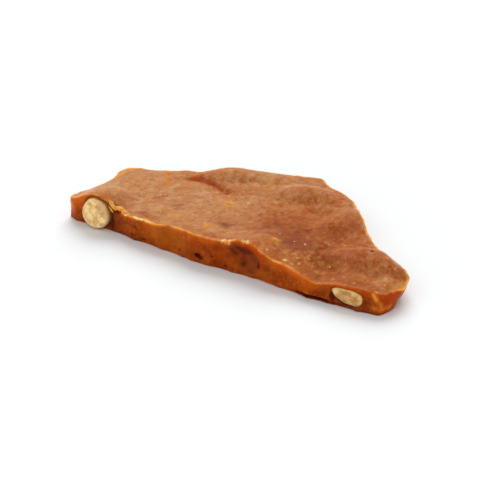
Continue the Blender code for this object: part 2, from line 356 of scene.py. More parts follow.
def skin_relief(x, y):
    """Fine relief of the upper skin."""
    height = sum(tall * lumps(x, y, 10.0 * size, size) for tall, size in DIMPLES)
    for middle, (half_length, half_width), degrees, tall, spacing, band in DRAWN_RINGS:
        along, across = turned(x, y, middle, degrees)
        ring = np.hypot(along / half_length, across / half_width) + RING_STRAY * lumps(x, y, 5.0, 5.0)
        faded = tall * stretches(x, y, 8.0, 4.0) * np.exp(-(((ring - RING_PEAK) / band) ** 2))
        height += faded * np.cos(2 * math.pi * ring / spacing)
    middle, radius, tall, groove = BLISTER
    off = np.hypot(x - middle[0], y - middle[1]) / radius
    height += tall * np.clip(1.0 - off**2, 0.0, None)
    height -= groove * np.exp(-(((off - GROOVE_PLACE) / GROOVE_WIDTH) ** 2))
    for middle, (half_length, half_width), degrees, tall, spacing in WRINKLES:
        along, across = turned(x, y, middle, degrees)
        spread = (along / half_length) ** 2 + (across / half_width) ** 2
        wander = WRINKLE_WANDER * lumps(x, y, 3.0, 2.0)
        height += tall * np.cos(2 * math.pi * along / spacing + wander) * np.exp(-spread)
    crumple = 1.0 - 2.0 * np.abs(lumps(x, y, 7.0, CRUMPLE_SIZE))
    return height + CRUMPLE_HEIGHT * crumple * ramp(x, CRUMPLE_START, CRUMPLE_FULL)


print("relief in mm on the blister:", round(float(skin_relief(*BLISTER[0])), 2))

# %% [markdown]
# ## The broken edge
#
# Cold caramel breaks as glass does, in a row of shallow scoops. Each scoop here is the hollow round one
# point of a scatter, with faint ripples round the same point, and long waves run through them. To the right
# of one upright step the break is rougher and full of burst bubbles.

# %% Shape of the break
SCOOP_SIZE = 7.5
SCOOP_DEPTH = 1.35
# The part of a scoop's depth that lies on the outline, so that scoops go both ways from it
SCOOP_LEVEL = 0.17
EDGE_WAVE_SIZE = 9.0
EDGE_WAVE_HEIGHT = 0.35

# Where the foot is tucked in under the rim, or stands out if negative: middle x and y, reach, how far in
TUCKS = [
    (107.0, 9.5, 7.5, 3.3),
    (102.8, 0.4, 2.6, -1.2),
    (82.0, -1.6, 6.0, 0.3),
    (52.0, -1.0, 14.0, -0.9),
    (97.0, -1.0, 6.0, -0.6),
    (-3.2, 1.3, 3.0, -0.6),
    (60.0, 47.0, 12.0, 1.2),
]
# A power: with more, the tuck gathers nearer to the foot
TUCK_BEND = 1.3

RIPPLE_HEIGHT = 0.035
RIPPLE_SPACING = 1.15
# Height and size of the unevenness everywhere, and of more of it where the break is rough
GRIT = [(0.09, 2.6), (0.04, 1.0)]
ROUGH_GRIT = [(0.10, 1.6), (0.06, 0.8)]
# Along X, the front break turns rough from the first place to the second and smooth again over the others
ROUGH_STRETCH = (41.0, 42.0, 68.0, 74.0)
# Behind this place along Y it is rough by this share everywhere
BACK_FROM = 10.0
BACK_ROUGH = 0.6
# The front's own marks fade out between these places along Y
FRONT_FADE = (4.0, 8.0)
# The upright step: its place along X, how far it stands out, half its width, and the run in which it fades
STEP_PLACE = 41.8
STEP_DEPTH = 0.22
STEP_HALF_WIDTH = 0.3
STEP_RUN = 9.0
# Fine lines along the foot of the right end
STRIAE_STRETCH = (68.0, 73.0)
STRIAE_DEPTH = 0.07
STRIAE_SPACING = 0.95
STRIAE_SLOPE = 0.06


def edge_offset(x, y, z, share):
    """How far the break stands out from the outline, at a share of the way up from its foot."""
    near = cells(x, y, z, SCOOP_SIZE)
    out = SCOOP_DEPTH * (near**2 - SCOOP_LEVEL) + EDGE_WAVE_HEIGHT * lumps(x, y, z, EDGE_WAVE_SIZE)
    for middle_x, middle_y, reach, depth in TUCKS:
        bell = np.exp(-((x - middle_x) ** 2 + (y - middle_y) ** 2) / reach**2)
        out -= depth * bell * (1.0 - share) ** TUCK_BEND
    out += RIPPLE_HEIGHT * np.cos(2 * math.pi * near * SCOOP_SIZE / RIPPLE_SPACING)
    out += sum(tall * lumps(x, y, z, size) for tall, size in GRIT)
    rough = ramp(x, *ROUGH_STRETCH[:2]) * (1.0 - ramp(x, *ROUGH_STRETCH[2:]))
    rough = np.where(y > BACK_FROM, BACK_ROUGH, rough)
    out += rough * sum(tall * lumps(x, y, z + 30.0, size) for tall, size in ROUGH_GRIT)
    front = 1.0 - ramp(y, *FRONT_FADE)
    step = ramp(x, STEP_PLACE - STEP_HALF_WIDTH, STEP_PLACE + STEP_HALF_WIDTH)
    out += front * STEP_DEPTH * (step - ramp(x, STEP_PLACE, STEP_PLACE + STEP_RUN))
    striae = np.sin(2 * math.pi * (z + STRIAE_SLOPE * (x - STRIAE_STRETCH[0])) / STRIAE_SPACING)
    return out + front * STRIAE_DEPTH * striae * ramp(x, *STRIAE_STRETCH) * (1.0 - share)


front_x = np.array(FRONT_RIM)[:, 0]
halfway = np.full(len(front_x), 0.5)
stands_out = edge_offset(front_x, 0.0 * front_x, SLAB_THICKNESS * halfway, halfway).round(2)
print("halfway up, the break stands out in mm by", stands_out.min(), "to", stands_out.max())

# %% [markdown]
# The outline is walked in steps of 0.3 mm, which is about one pixel of the picture that the camera takes at
# the end. Each step gets a column of points from the foot up to the rim. The foot is slightly rounded, and
# so is the lip at the rim, by an amount that changes along it as it does on a real break.

# %% Columns of points round the break
OUTLINE_STEP = 0.25
EDGE_STEP = 0.3
# The outward directions are averaged over this stretch of the outline
HEADING_ROUND = 2.2
EDGE_ROWS = 20
FOOT_ROUND = 0.4
FOOT_ROWS = 4
LIP_ROWS = 5
# The least and the most that the lip is rounded, and how long its blunt and sharp stretches are
LIP_ROUND = (0.08, 0.38)
LIP_SIZE = 5.0


def resampled(points, step):
    """Points about step apart along a closed outline."""
    loop = np.vstack([points, points[:1]])
    along = np.concatenate([[0.0], np.cumsum(np.linalg.norm(np.diff(loop, axis=0), axis=1))])
    count = round(along[-1] / step)
    places = np.arange(count) * along[-1] / count
    return np.column_stack([np.interp(places, along, loop[:, axis]) for axis in (0, 1)])


def outline_ring():
    """Points round the slab and their outward directions, which turn slowly so that no columns cross."""
    rounded = smoothed(resampled(OUTLINE, OUTLINE_STEP), CORNER_ROUND / OUTLINE_STEP, True)
    ring = resampled(rounded, EDGE_STEP)
    along = np.roll(ring, -1, axis=0) - np.roll(ring, 1, axis=0)
    heading = smoothed(along, HEADING_ROUND / EDGE_STEP, True)
    heading /= np.linalg.norm(heading, axis=1)[:, None]
    return ring, np.column_stack([heading[:, 1], -heading[:, 0]])


def edge_columns():
    """Rows of points round the broken edge, from its foot over the lip to the skin."""
    ring, outward = outline_ring()
    x, y = ring.T
    least, most = LIP_ROUND
    blunt = least + (most - least) * stretches(x, y, 2.0, LIP_SIZE, -0.4, 0.5)
    rim = ring + (edge_offset(x, y, top_height(x, y), np.ones(len(x))) - blunt)[:, None] * outward
    rim_z = top_height(*rim.T) + skin_relief(*rim.T)
    foot_angles = np.linspace(0.0, math.pi / 2, FOOT_ROWS)
    heights = [np.full(len(x), z) for z in FOOT_ROUND - FOOT_ROUND * np.cos(foot_angles)]
    tucked = [np.full(len(x), reach - FOOT_ROUND) for reach in np.sin(foot_angles) * FOOT_ROUND]
    for share in np.linspace(0.0, 1.0, EDGE_ROWS)[1:]:
        heights.append(FOOT_ROUND + share * (rim_z - blunt - FOOT_ROUND))
        tucked.append(np.zeros(len(x)))
    for angle in np.linspace(0.0, math.pi / 2, LIP_ROWS)[1:-1]:
        heights.append(rim_z - blunt * (1.0 - math.sin(angle)))
        tucked.append(-blunt * (1.0 - math.cos(angle)))
    rows = []
    for z, inward in zip(heights, tucked):
        out = edge_offset(x, y, z, z / rim_z) + inward
        rows.append(np.column_stack([ring + out[:, None] * outward, z]))
    rows.append(np.column_stack([rim, rim_z]))
    return rows


rows = edge_columns()
shortest = min(np.linalg.norm(np.roll(row, -1, axis=0) - row, axis=1).min() for row in rows)
print(len(rows), "rows of", len(rows[0]), "points, shortest stride in mm:", round(shortest, 3))

# %% [markdown]
# The skin and the base are filled with a triangular grid, cut to the rim and the foot by a Delaunay
# triangulation. It fills the rim's whole convex hull, so triangles that lie across a bay of the outline are
# left out again.

# %% Fill a loop with triangles
# How far the grid stays from the loop's line, as a share of its step
CLEAR_OF_EDGE = 0.6
# The triangulation is asked for the whole hull, with points nearer to each other than this merged
WHOLE_HULL = 0
MERGED_BELOW = 1e-7


def inside(loop, points):
    """Which points lie within a closed loop in plan."""
    ends = np.roll(loop, -1, axis=0)
    px, py = points[:, :1], points[:, 1:2]
    crossed = (loop[:, 1] > py) != (ends[:, 1] > py)
    rise = np.where(ends[:, 1] == loop[:, 1], 1.0, ends[:, 1] - loop[:, 1])
    at = loop[:, 0] + (py - loop[:, 1]) * (ends[:, 0] - loop[:, 0]) / rise
    return np.count_nonzero(crossed & (at > px), axis=1) % 2 == 1


def filling_points(loop, step):
    """Points of a triangular grid that lie inside a loop, clear of its line."""
    low, high = loop.min(axis=0), loop.max(axis=0)
    row_step = step * math.sqrt(0.75)
    found = []
    for row in range(1, int((high[1] - low[1]) / row_step) + 1):
        x = low[0] + (np.arange(int((high[0] - low[0]) / step) + 1) + 0.5 * (row % 2)) * step
        line = np.column_stack([x, np.full(len(x), low[1] + row * row_step)])
        gap = np.hypot(line[:, :1] - loop[:, 0], line[:, 1:2] - loop[:, 1]).min(axis=1)
        found.append(line[(gap > CLEAR_OF_EDGE * step) & inside(loop, line)])
    return np.vstack(found)


def filled(loop, step):
    """Points and triangles that fill a loop. The loop's own points come first."""
    grid = [Vector(point) for point in np.vstack([loop, filling_points(loop, step)])]
    rim = list(range(len(loop)))
    made, _, triangles, *_ = delaunay_2d_cdt(grid, [], [rim], WHOLE_HULL, MERGED_BELOW, False)
    triangles = np.array(triangles)
    points = np.array([tuple(point) for point in made])
    spanning = np.flatnonzero((triangles < len(loop)).all(axis=1))
    outside = spanning[~inside(loop, points[triangles[spanning]].mean(axis=1))]
    return points, np.delete(triangles, outside, axis=0)


# %% Build the candy's mesh
# Grid steps in millimetres: the skin's about a pixel, the flat base's much coarser
SKIN_STEP = 0.31
BASE_STEP = 1.6


def slab_mesh():
    """The candy as one closed mesh: the break, the skin and the flat base."""
    count = len(rows[0])
    around = np.arange(count)
    beyond = np.roll(around, -1)
    faces = []
    for first in range(0, count * (len(rows) - 1), count):
        quads = np.column_stack([around, beyond, beyond + count, around + count]) + first
        faces += quads.tolist()
    skin, triangles = filled(rows[-1][:, :2], SKIN_STEP)
    faces += (triangles + count * (len(rows) - 1)).tolist()
    inner = skin[count:]
    points = [*rows, np.column_stack([inner, top_height(*inner.T) + skin_relief(*inner.T)])]
    base, triangles = filled(rows[0][:, :2], BASE_STEP)
    skip = sum(len(part) for part in points) - count
    faces += np.where(triangles < count, triangles, triangles + skip)[:, ::-1].tolist()
    points.append(np.column_stack([base[count:], np.zeros(len(base) - count)]))
    mesh = bpy.data.meshes.new("candy_slab_body")
    mesh.from_pydata(placed(np.vstack(points)).tolist(), [], faces)
    mesh.update()
    return mesh


def linked(name, mesh):
    """A new object of the scene with that mesh."""
    made = bpy.data.objects.new(name, mesh)
    bpy.context.scene.collection.objects.link(made)
    return made


slab = linked("candy_slab_body", slab_mesh())
print("slab:", len(slab.data.vertices), "points,", len(slab.data.polygons), "faces")

# %% [markdown]
# ## Sockets, prints and bubbles
#
# Each nut sits in a socket of its own shape. One nut fell out when the slab broke and left its print, and
# the boil left bubbles that the break cut open. All of them are blunt eggs, cut away by one Boolean. The
# eggs that stand for nuts are widest a little off their middle, as a peanut kernel is.

# %% The egg shape
# A power: 2 gives an ellipsoid, and more gives blunter ends
ROUND = 2.0
NUT_BLUNTNESS = 2.8
# How much wider than the middle the nut's leading end is, as a share
NUT_TAPER = 0.06
# The least distance from the axis that a point counts with, as the poles lie on it
POLE_RADIUS = 1e-6


def aimed(heading, tilt):
    """The turn that points +X along a heading seen from above, raised by a tilt, both in degrees."""
    return Matrix.Rotation(math.radians(heading), 4, "Z") @ Matrix.Rotation(math.radians(-tilt), 4, "Y")


def egg(half_sizes, heading, tilt, middle, bluntness, sides, rings, bumps=0.0, bump_size=1.0, lean=0.0):
    """A closed egg whose wide end leads along its heading. Bumps make it uneven, in millimetres."""
    shape = bmesh.new()
    bmesh.ops.create_uvsphere(shape, u_segments=sides, v_segments=rings, radius=1.0)
    bmesh.ops.rotate(shape, verts=shape.verts, matrix=Matrix.Rotation(math.pi / 2, 3, "Y"))
    for vert in shape.verts:
        x, y, z = vert.co
        along = math.copysign(abs(x) ** (2 / bluntness), x)
        radius = max(math.hypot(y, z), POLE_RADIUS)
        wide = radius ** (2 / bluntness - 1) * (1.0 + NUT_TAPER * along * (bluntness > ROUND))
        point = Vector((along * half_sizes[0], y * wide * half_sizes[1], z * wide * half_sizes[2]))
        point.x -= lean * point.z * (1.0 - along) / 2
        bump = bumps * noise((point + Vector(middle)) / bump_size)
        vert.co = point + bump * vert.co.normalized()
    shape.transform(Matrix.Translation(placed(middle)) @ aimed(heading, tilt) @ Matrix.Scale(MM, 4))
    return shape


# %% Where the nuts and hollows are
# Cut across: middle, length, width, height, the heading that the cut faces seen from above, tilt, and how
# far from the middle the cut is
CUT_PEANUTS = {
    "peanut_left_end": ((7.8, 2.6, 4.9), 13.5, 9.1, 9.4, -82.0, 0.0, 4.9),
    "peanut_back_right": ((73.6, 30.9, 4.2), 13.5, 8.2, 7.2, 48.0, 0.0, 4.6),
}
# Lying along the edge and split lengthwise: the same, with the heading and tilt of the length
SPLIT_PEANUTS = {
    "peanut_front_right": ((93.6, 0.9, 3.1), 9.5, 7.6, 5.0, 2.0, -2.0, 2.1),
    "peanut_back_left": ((32.6, 41.0, 3.8), 14.5, 8.6, 6.4, 27.0, 4.0, 3.2),
}
PEANUTS = {**CUT_PEANUTS, **SPLIT_PEANUTS}
SOCKET_GAP = 0.12
# How uneven each nut is, the size of its bumps, and how far its tail leans back per millimetre of height
NUT_BUMPS = {
    "peanut_left_end": (0.18, 3.0, 0.0),
    "peanut_back_right": (0.14, 2.5, 0.0),
    "peanut_front_right": (0.16, 2.6, 0.7),
    "peanut_back_left": (0.12, 2.5, 0.0),
}

# Middle and half sizes
NUT_PRINT = ((60.4, -1.7, 5.3), (5.0, 3.4, 3.6))
# Height and size of the print's bumps
PRINT_BUMPS = (0.40, 2.1)
HOLLOWS = {
    "base_hollow": ((83.2, -2.3, 0.85), (5.4, 2.0, 0.45)),
    "bubble": ((45.0, -1.9, 2.2), (1.1, 1.5, 0.65)),
    "bubble_tail": ((45.9, -1.9, 1.85), (0.9, 1.3, 0.5)),
    "rim_chip": ((14.6, -0.8, 8.9), (2.6, 2.6, 2.3)),
    "rim_nick": ((34.2, -2.4, 8.4), (1.7, 1.6, 0.9)),
    "back_bubble": ((60.5, 47.8, 2.8), (1.8, 1.8, 1.2)),
    "gap_right_of_left_nut": ((12.9, -0.9, 3.2), (1.2, 1.7, 3.0)),
    "gap_left_of_right_nut": ((89.5, -1.7, 2.6), (0.9, 1.3, 1.2)),
    "gap_under_right_nut": ((92.0, -2.4, 0.7), (3.4, 1.1, 0.35)),
    "print_pit": ((64.4, -0.6, 3.9), (0.6, 1.1, 0.55)),
    "lower_print": ((61.6, -2.3, 2.0), (2.6, 1.2, 0.8)),
    "face_pit": ((49.8, -2.1, 3.2), (0.4, 0.5, 0.3)),
    "left_foot_pit": ((21.1, -1.0, 1.8), (0.45, 0.5, 0.24)),
    "second_foot_pit": ((25.2, -0.9, 1.2), (0.55, 0.5, 0.22)),
    "third_foot_pit": ((38.4, -1.6, 1.8), (0.35, 0.4, 0.22)),
    "fourth_foot_pit": ((54.3, -1.6, 1.5), (0.55, 0.5, 0.22)),
    "skin_pit": ((91.8, 14.2, 10.2), (0.5, 0.5, 0.45)),
}
# Height and size of a hollow's bumps, as a share of its smallest half size
HOLLOW_BUMPS = (0.5, 1.3)
print(len(PEANUTS), "nuts, one print and", len(HOLLOWS), "hollows")

# %% [markdown]
# The finest bubbles are far too many to place by hand, so a seeded draw scatters them: most over the break,
# above its foot, and a few in the skin, each with its middle a little above it so that it leaves a shallow
# dimple. None is wider than about two pixels, and they still show as dark dots, because painted shade is laid
# in them.

# %% Scatter the tiny bubbles
BUBBLE_SEED = 11
BUBBLE_COUNT = 30
BUBBLE_SIZES = (0.10, 0.28)
BUBBLE_SHRINK = (0.6, 1.0)
BUBBLE_FLATNESS = 0.8
LOWEST_BUBBLE_ROW = 5
SKIN_BUBBLE_COUNT = 10
SKIN_BUBBLE_SIZES = (0.15, 0.3)
SKIN_BUBBLE_FLATNESS = 0.7
SKIN_BUBBLE_RISE = 0.3
# The stretch of the skin that has them, along X and Y
SKIN_BUBBLE_FIELD = ((20.0, 96.0), (3.0, 40.0))

draw = random.Random(BUBBLE_SEED)
small_bubbles = []
for _ in range(BUBBLE_COUNT):
    row = rows[draw.randrange(LOWEST_BUBBLE_ROW, EDGE_ROWS)]
    spot = row[draw.randrange(len(row))]
    size = draw.uniform(*BUBBLE_SIZES) * draw.uniform(*BUBBLE_SHRINK)
    small_bubbles.append((tuple(spot), (size, size, BUBBLE_FLATNESS * size)))
for _ in range(SKIN_BUBBLE_COUNT):
    x, y = [draw.uniform(*stretch) for stretch in SKIN_BUBBLE_FIELD]
    size = draw.uniform(*SKIN_BUBBLE_SIZES)
    height = float(top_height(x, y)) + SKIN_BUBBLE_RISE * size
    small_bubbles.append(((x, y, height), (size, size, SKIN_BUBBLE_FLATNESS * size)))
print("tiny bubbles:", len(small_bubbles))

# %% Cut them all out
# Sides and rings of the eggs
NUT_GRID = (64, 36)
PRINT_GRID = (72, 40)
HOLLOW_GRID = (40, 22)
BUBBLE_GRID = (12, 8)

cutters = bpy.data.collections.new("cutters")


def add_cutter(name, shape):
    """Keeps a shape for the cut."""
    mesh = bpy.data.meshes.new(name)
    shape.to_mesh(mesh)
    shape.free()
    cutters.objects.link(bpy.data.objects.new(name, mesh))


for name, (middle, *sizes, heading, tilt, _) in PEANUTS.items():
    grown = [size / 2 + SOCKET_GAP for size in sizes]
    socket = egg(grown, heading, tilt, middle, NUT_BLUNTNESS, *NUT_GRID, *NUT_BUMPS[name])
    add_cutter(name + "_socket", socket)
print_middle, print_half_sizes = NUT_PRINT
add_cutter("nut_print", egg(print_half_sizes, 0.0, 0.0, print_middle, ROUND, *PRINT_GRID, *PRINT_BUMPS))
for name, (middle, half_sizes) in HOLLOWS.items():
    bumps = [share * min(half_sizes) for share in HOLLOW_BUMPS]
    add_cutter(name, egg(half_sizes, 0.0, 0.0, middle, ROUND, *HOLLOW_GRID, *bumps))
for index, (middle, half_sizes) in enumerate(small_bubbles):
    add_cutter(f"bubble_{index}", egg(half_sizes, draw.uniform(0, 360), 0.0, middle, ROUND, *BUBBLE_GRID))

carve = slab.modifiers.new("sockets_and_bubbles", "BOOLEAN")
carve.operation = "DIFFERENCE"
carve.solver = "MANIFOLD"
carve.operand_type = "COLLECTION"
carve.collection = cutters
slab.data = bpy.data.meshes.new_from_object(slab.evaluated_get(bpy.context.evaluated_depsgraph_get()))
slab.modifiers.clear()
for cutter in list(cutters.objects):
    bpy.data.objects.remove(cutter)
bpy.data.collections.remove(cutters)

# %% [markdown]
# A Boolean leaves some untidy spots too: slivers, and points in the middle of a straight edge. The shortest
# edges are closed up, and then the needless points go. The mesh has to stay closed, so its open edges are
# counted afterwards.

# %% Close up the slivers
# The length in millimetres below which an edge is closed up
SLIVER = 0.005

shape = bmesh.new()
shape.from_mesh(slab.data)
bmesh.ops.dissolve_degenerate(shape, dist=SLIVER * MM, edges=shape.edges)
bmesh.ops.dissolve_verts(shape, verts=[vert for vert in shape.verts if len(vert.link_edges) == 2])
open_edges = sum(not edge.is_manifold for edge in shape.edges)
shape.to_mesh(slab.data)
shape.free()
print("after the cut:", len(slab.data.vertices), "points and", len(slab.data.polygons), "faces")
print("open edges:", open_edges)

# %% [markdown]
# The cut's edges are as sharp as a knife. Hot candy drew them round before it set, so the points near those
# edges are smoothed a few times. The tiny bubbles keep their edges, which are too small to round.

# %% Round the hollows' edges
# How far from a hollow's own surface, in millimetres, and how many times
SOFT_REACH = 0.45
SOFT_TIMES = 6
PRINT_SOFT_REACH = 1.7
PRINT_SOFT_TIMES = 60
# The same reach for a small hollow, as a share of its smallest half size
SOFT_SHARE = 0.5
# How far a point moves each time towards the middle of its neighbours
SOFT_PULL = 0.5
# The foot stays flat, so nothing below this height is smoothed
SOFT_ABOVE = 0.5


def points_of(mesh):
    """The mesh's points in the slab's millimetres, one row each."""
    flat = np.zeros(3 * len(mesh.vertices))
    mesh.vertices.foreach_get("co", flat)
    return flat.reshape(-1, 3) / MM + SLAB_MIDDLE


def reach_from(points, middle, half_sizes):
    """How far out each point is from the middle of an egg, where 1 is the egg's own surface."""
    return np.linalg.norm((points - middle) / half_sizes, axis=1)


def soften(mesh, hollows, soft_reach, times):
    """Smooths the points that lie near the surface of a hollow, that many times."""
    points = points_of(mesh)
    near = np.zeros(len(points), bool)
    for middle, half_sizes in hollows:
        off = np.abs(reach_from(points, middle, half_sizes) - 1.0) * min(half_sizes)
        near |= off < min(soft_reach, SOFT_SHARE * min(half_sizes))
    near &= points[:, 2] > SOFT_ABOVE
    shape = bmesh.new()
    shape.from_mesh(mesh)
    shape.verts.ensure_lookup_table()
    chosen = [shape.verts[index] for index in np.flatnonzero(near)]
    every_way = {"use_axis_x": True, "use_axis_y": True, "use_axis_z": True}
    for _ in range(times):
        bmesh.ops.smooth_vert(shape, verts=chosen, factor=SOFT_PULL, **every_way)
    shape.to_mesh(mesh)
    shape.free()
    return len(chosen)


print("points smoothed at the print:", soften(slab.data, [NUT_PRINT], PRINT_SOFT_REACH, PRINT_SOFT_TIMES))
print("and at the hollows:", soften(slab.data, HOLLOWS.values(), SOFT_REACH, SOFT_TIMES))

# %% [markdown]
# ## Where the candy changes colour
#
# Caramel isn't one colour. The skin is milky where air and sugar dried on it and clear where it was drawn,
# the break is burnt brown in places, and the nut's print keeps some of its red skin. The lip lets light
# through, and that light is painted, as are highlights and glints, a painted sheen on the skin, and painted
# shade in hollows, gaps and pits and where other pieces of the pile lay over the slab. Each of these is
# painted on the mesh's points as a number from 0 to 1, worked out from where the point is, and the materials
# then read the numbers by name.
#
# Most of them are soft oval patches, multiplied by noise so that their borders are ragged. In a call for
# noise, what is added to z only picks other lumps, and the next numbers are the lumps' size in millimetres
# and how far they swing, or the levels of the noise between which a stretch comes up.

# %% Painting helpers
def patches(x, y, spots):
    """Adds up soft spots, each given by its middle, half sizes, turn and strength."""
    total = np.zeros(len(x))
    for middle, half_length, half_width, degrees, strength in spots:
        along, across = turned(x, y, middle, degrees)
        total += strength * np.exp(-((along / half_length) ** 2) - (across / half_width) ** 2)
    return total


def paint(mesh, name, values):
    """Keeps one number for each point of the mesh under that name."""
    layer = mesh.attributes.new(name, "FLOAT", "POINT")
    layer.data.foreach_set("value", np.clip(values, 0.0, 1.0).astype(np.float32))


def distance_to_points(points, targets):
    """Distance from each point to the nearest target."""
    tree = KDTree(len(targets))
    for index, target in enumerate(targets):
        tree.insert(target, index)
    tree.balance()
    return np.array([tree.find(point)[2] for point in points])


# %% [markdown]
# The skin's broad patches are placed from above. Milk is a level that goes up and down from patch to patch.
# It also carries painted sheen, on the flat skin and as a highlight on the blister, and it is lowered where
# shade is painted in and beside the valley. Painted shadow darkens the places where other pieces of the pile
# lay over the slab. The rest are marks: red ones from the nuts' skins, and yellow ones from splinters of
# clear candy, with painted glints on the back-left corner and edge and at the right tip.

# %% Patches of the skin
# Middle, half length, half width, turn and strength, all seen from above
# Milky bloom, with painted sheen
MILK_AND_SHEEN_PATCHES = [
    ((8.0, 17.0), 24.0, 14.0, 20.0, 0.26),
    ((15.0, 4.5), 5.0, 4.0, 0.0, 0.15),
    ((40.0, 14.0), 20.0, 12.0, 0.0, 0.16),
    ((36.0, 43.0), 13.0, 7.0, 25.0, 0.30),
    ((0.5, 8.0), 3.0, 7.0, 0.0, 0.20),
    ((7.0, 3.5), 5.0, 2.5, 0.0, 0.18),
    ((95.0, 10.5), 7.0, 4.5, 10.0, 0.30),
    # The blister's painted highlight
    ((75.9, 13.7), 0.9, 0.9, 0.0, 0.6),
]
# Clearer candy, and painted shade in and beside the valley: the patches at (70, 11), (82, 6) and (62, 19)
CLEAR_AND_SHADE_PATCHES = [
    ((25.0, 30.8), 7.0, 1.6, 0.0, 0.5),
    ((20.5, 33.0), 2.5, 1.5, 50.0, 0.5),
    ((70.0, 11.0), 9.0, 7.0, 10.0, 0.54),
    ((82.0, 6.0), 9.0, 7.0, 40.0, 0.42),
    ((93.0, 9.0), 12.0, 9.0, 10.0, 0.10),
    ((0.0, 20.0), 2.0, 9.0, 0.0, 0.30),
    ((7.5, 0.2), 5.0, 0.9, 0.0, 0.4),
    ((62.0, 19.0), 13.0, 9.0, 0.0, 0.50),
    ((22.0, 1.8), 6.5, 1.1, 0.0, 0.35),
    ((46.0, 0.6), 8.0, 1.4, 0.0, 0.35),
    ((71.0, 2.2), 7.0, 1.2, 0.0, 0.20),
]
MILKY_LEVEL = 0.42
# The skin is clearer towards its right end, and darker there with painted shade and less painted sheen:
# from where to where along X, and by how much
CLEARER_AND_SHADED = (40.0, 72.0, 0.22)
# Painted shadow, mostly where other pieces of the pile lay over the slab
SHADOW_PATCHES = [
    ((67.6, 11.5), 5.5, 3.5, 5.0, 0.9),
    ((60.0, 18.0), 7.0, 3.5, -10.0, 0.70),
    ((55.0, 12.0), 4.0, 2.5, 0.0, 0.45),
    ((79.0, 9.0), 5.0, 3.0, 30.0, 0.60),
    ((75.0, 22.0), 9.0, 6.0, 100.0, 0.35),
    ((100.0, 15.5), 5.0, 2.5, -35.0, 0.55),
    ((94.5, 1.4), 6.5, 1.8, 0.0, 0.55),
]
RED_MARKS = [
    ((22.1, 3.1), 1.8, 0.9, 9.0, 1.2),
    ((47.0, 9.4), 1.7, 1.5, 12.0, 1.4),
    ((43.6, 9.0), 2.4, 1.5, 10.0, 0.5),
    ((27.5, 12.3), 2.2, 1.9, 20.0, 0.7),
    ((27.8, 20.5), 1.4, 1.2, 20.0, 0.6),
    ((21.0, 31.2), 0.6, 0.8, 5.0, 1.1),
    ((23.6, 31.5), 0.5, 0.7, 5.0, 0.9),
    ((26.4, 31.1), 0.7, 0.8, 5.0, 1.0),
    ((30.2, 30.1), 0.8, 0.7, 5.0, 0.8),
    ((66.5, 20.0), 2.5, 2.0, 30.0, 0.7),
    ((60.5, 11.0), 2.0, 1.4, 0.0, 0.7),
    ((72.0, 9.0), 2.4, 1.6, 10.0, 0.6),
    ((97.5, 9.0), 1.6, 1.6, 0.0, 0.5),
]
YELLOW_MARKS_AND_GLINTS = [
    ((38.6, 22.0), 1.2, 1.7, 0.0, 1.3),
    ((43.0, 5.9), 1.2, 1.4, 20.0, 1.1),
    ((64.4, 7.6), 1.1, 1.5, 0.0, 1.1),
    ((31.0, 6.5), 2.4, 1.6, 10.0, 0.6),
    ((24.0, 8.0), 2.0, 1.5, 0.0, 0.4),
    # Painted glints on the back-left corner and edge, and at the right tip
    ((-1.2, 26.4), 2.2, 1.6, 0.0, 1.3),
    ((-0.8, 21.5), 1.5, 4.6, 0.0, 0.8),
    ((105.0, 11.0), 1.8, 4.5, 0.0, 0.6),
]
# The milk's own slow swing, and the size of its swings
MILK_SWING = 0.10
MILK_SWING_SIZE = 9.0
# How strong the marks are, how much that varies, and how much stronger the yellow ones are
MARK_LEVEL = 0.8
MARK_SWING = 0.9
YELLOW_MORE = 0.15


def paint_patches(mesh, x, y, on_top):
    """Milky places with painted sheen, painted shadow, and red and yellow marks with painted glints."""
    start, end, fall = CLEARER_AND_SHADED
    milk_and_sheen = MILKY_LEVEL + patches(x, y, MILK_AND_SHEEN_PATCHES) - patches(x, y, CLEAR_AND_SHADE_PATCHES)
    milk_and_sheen += MILK_SWING * lumps(x, y, 1.0, MILK_SWING_SIZE) - fall * ramp(x, start, end)
    # Milk goes from -1 to 1, and a painted number from 0 to 1
    paint(mesh, "milk_and_sheen", 0.5 + 0.5 * milk_and_sheen)
    # Painted shadow, in patches
    paint(mesh, "painted_shadow", patches(x, y, SHADOW_PATCHES) * uneven(x, y, 5.0, 3.0, 0.7))
    mottled = MARK_LEVEL + MARK_SWING * lumps(x, y, 3.0, 1.4)
    paint(mesh, "red_mark", patches(x, y, RED_MARKS) * mottled * on_top)
    # Yellow marks, and painted glints on the back-left corner and edge and at the right tip
    paint(mesh, "yellow_mark_and_glint", patches(x, y, YELLOW_MARKS_AND_GLINTS) * (mottled + YELLOW_MORE) * on_top)


print("skin patches:", [len(spots) for spots in (MILK_AND_SHEEN_PATCHES, CLEAR_AND_SHADE_PATCHES, SHADOW_PATCHES)])
print("skin marks:", len(RED_MARKS), "red and", len(YELLOW_MARKS_AND_GLINTS), "yellow")

# %% [markdown]
# A few lines were drawn in the skin while it was soft. The fold's line is darker orange: its clearer candy,
# with painted shade in the fold. Painted glints lie side by side in the valley, on the crests of its
# wrinkles. Each line is a run of points with a soft, broken border.

# %% Lines of the skin, and glints on its wrinkles
# Lines drawn in the skin: their points, half width, and how broken up they are
DRAWN_LINES = {
    "drip": ([(10.0, 31.4), (11.8, 28.6), (14.0, 26.0), (16.2, 22.8)], 0.65, 0.6),
    # The fold's line: darker orange, its clearer candy with painted shade in the fold
    "crease_and_shade": (
        [(21.6, 34.6), (18.4, 30.4), (21.9, 31.3), (26.2, 31.2), (29.0, 30.6), (32.6, 29.0)],
        0.9,
        1.6,
    ),
    "crack": ([(18.6, 12.6), (19.4, 14.6), (20.4, 16.6)], 0.6, 1.3),
}
# How far a line strays, as a share of its half width
LINE_STRAY = 0.9
# A power: with more, the border of a line is harder
LINE_BORDER = 4
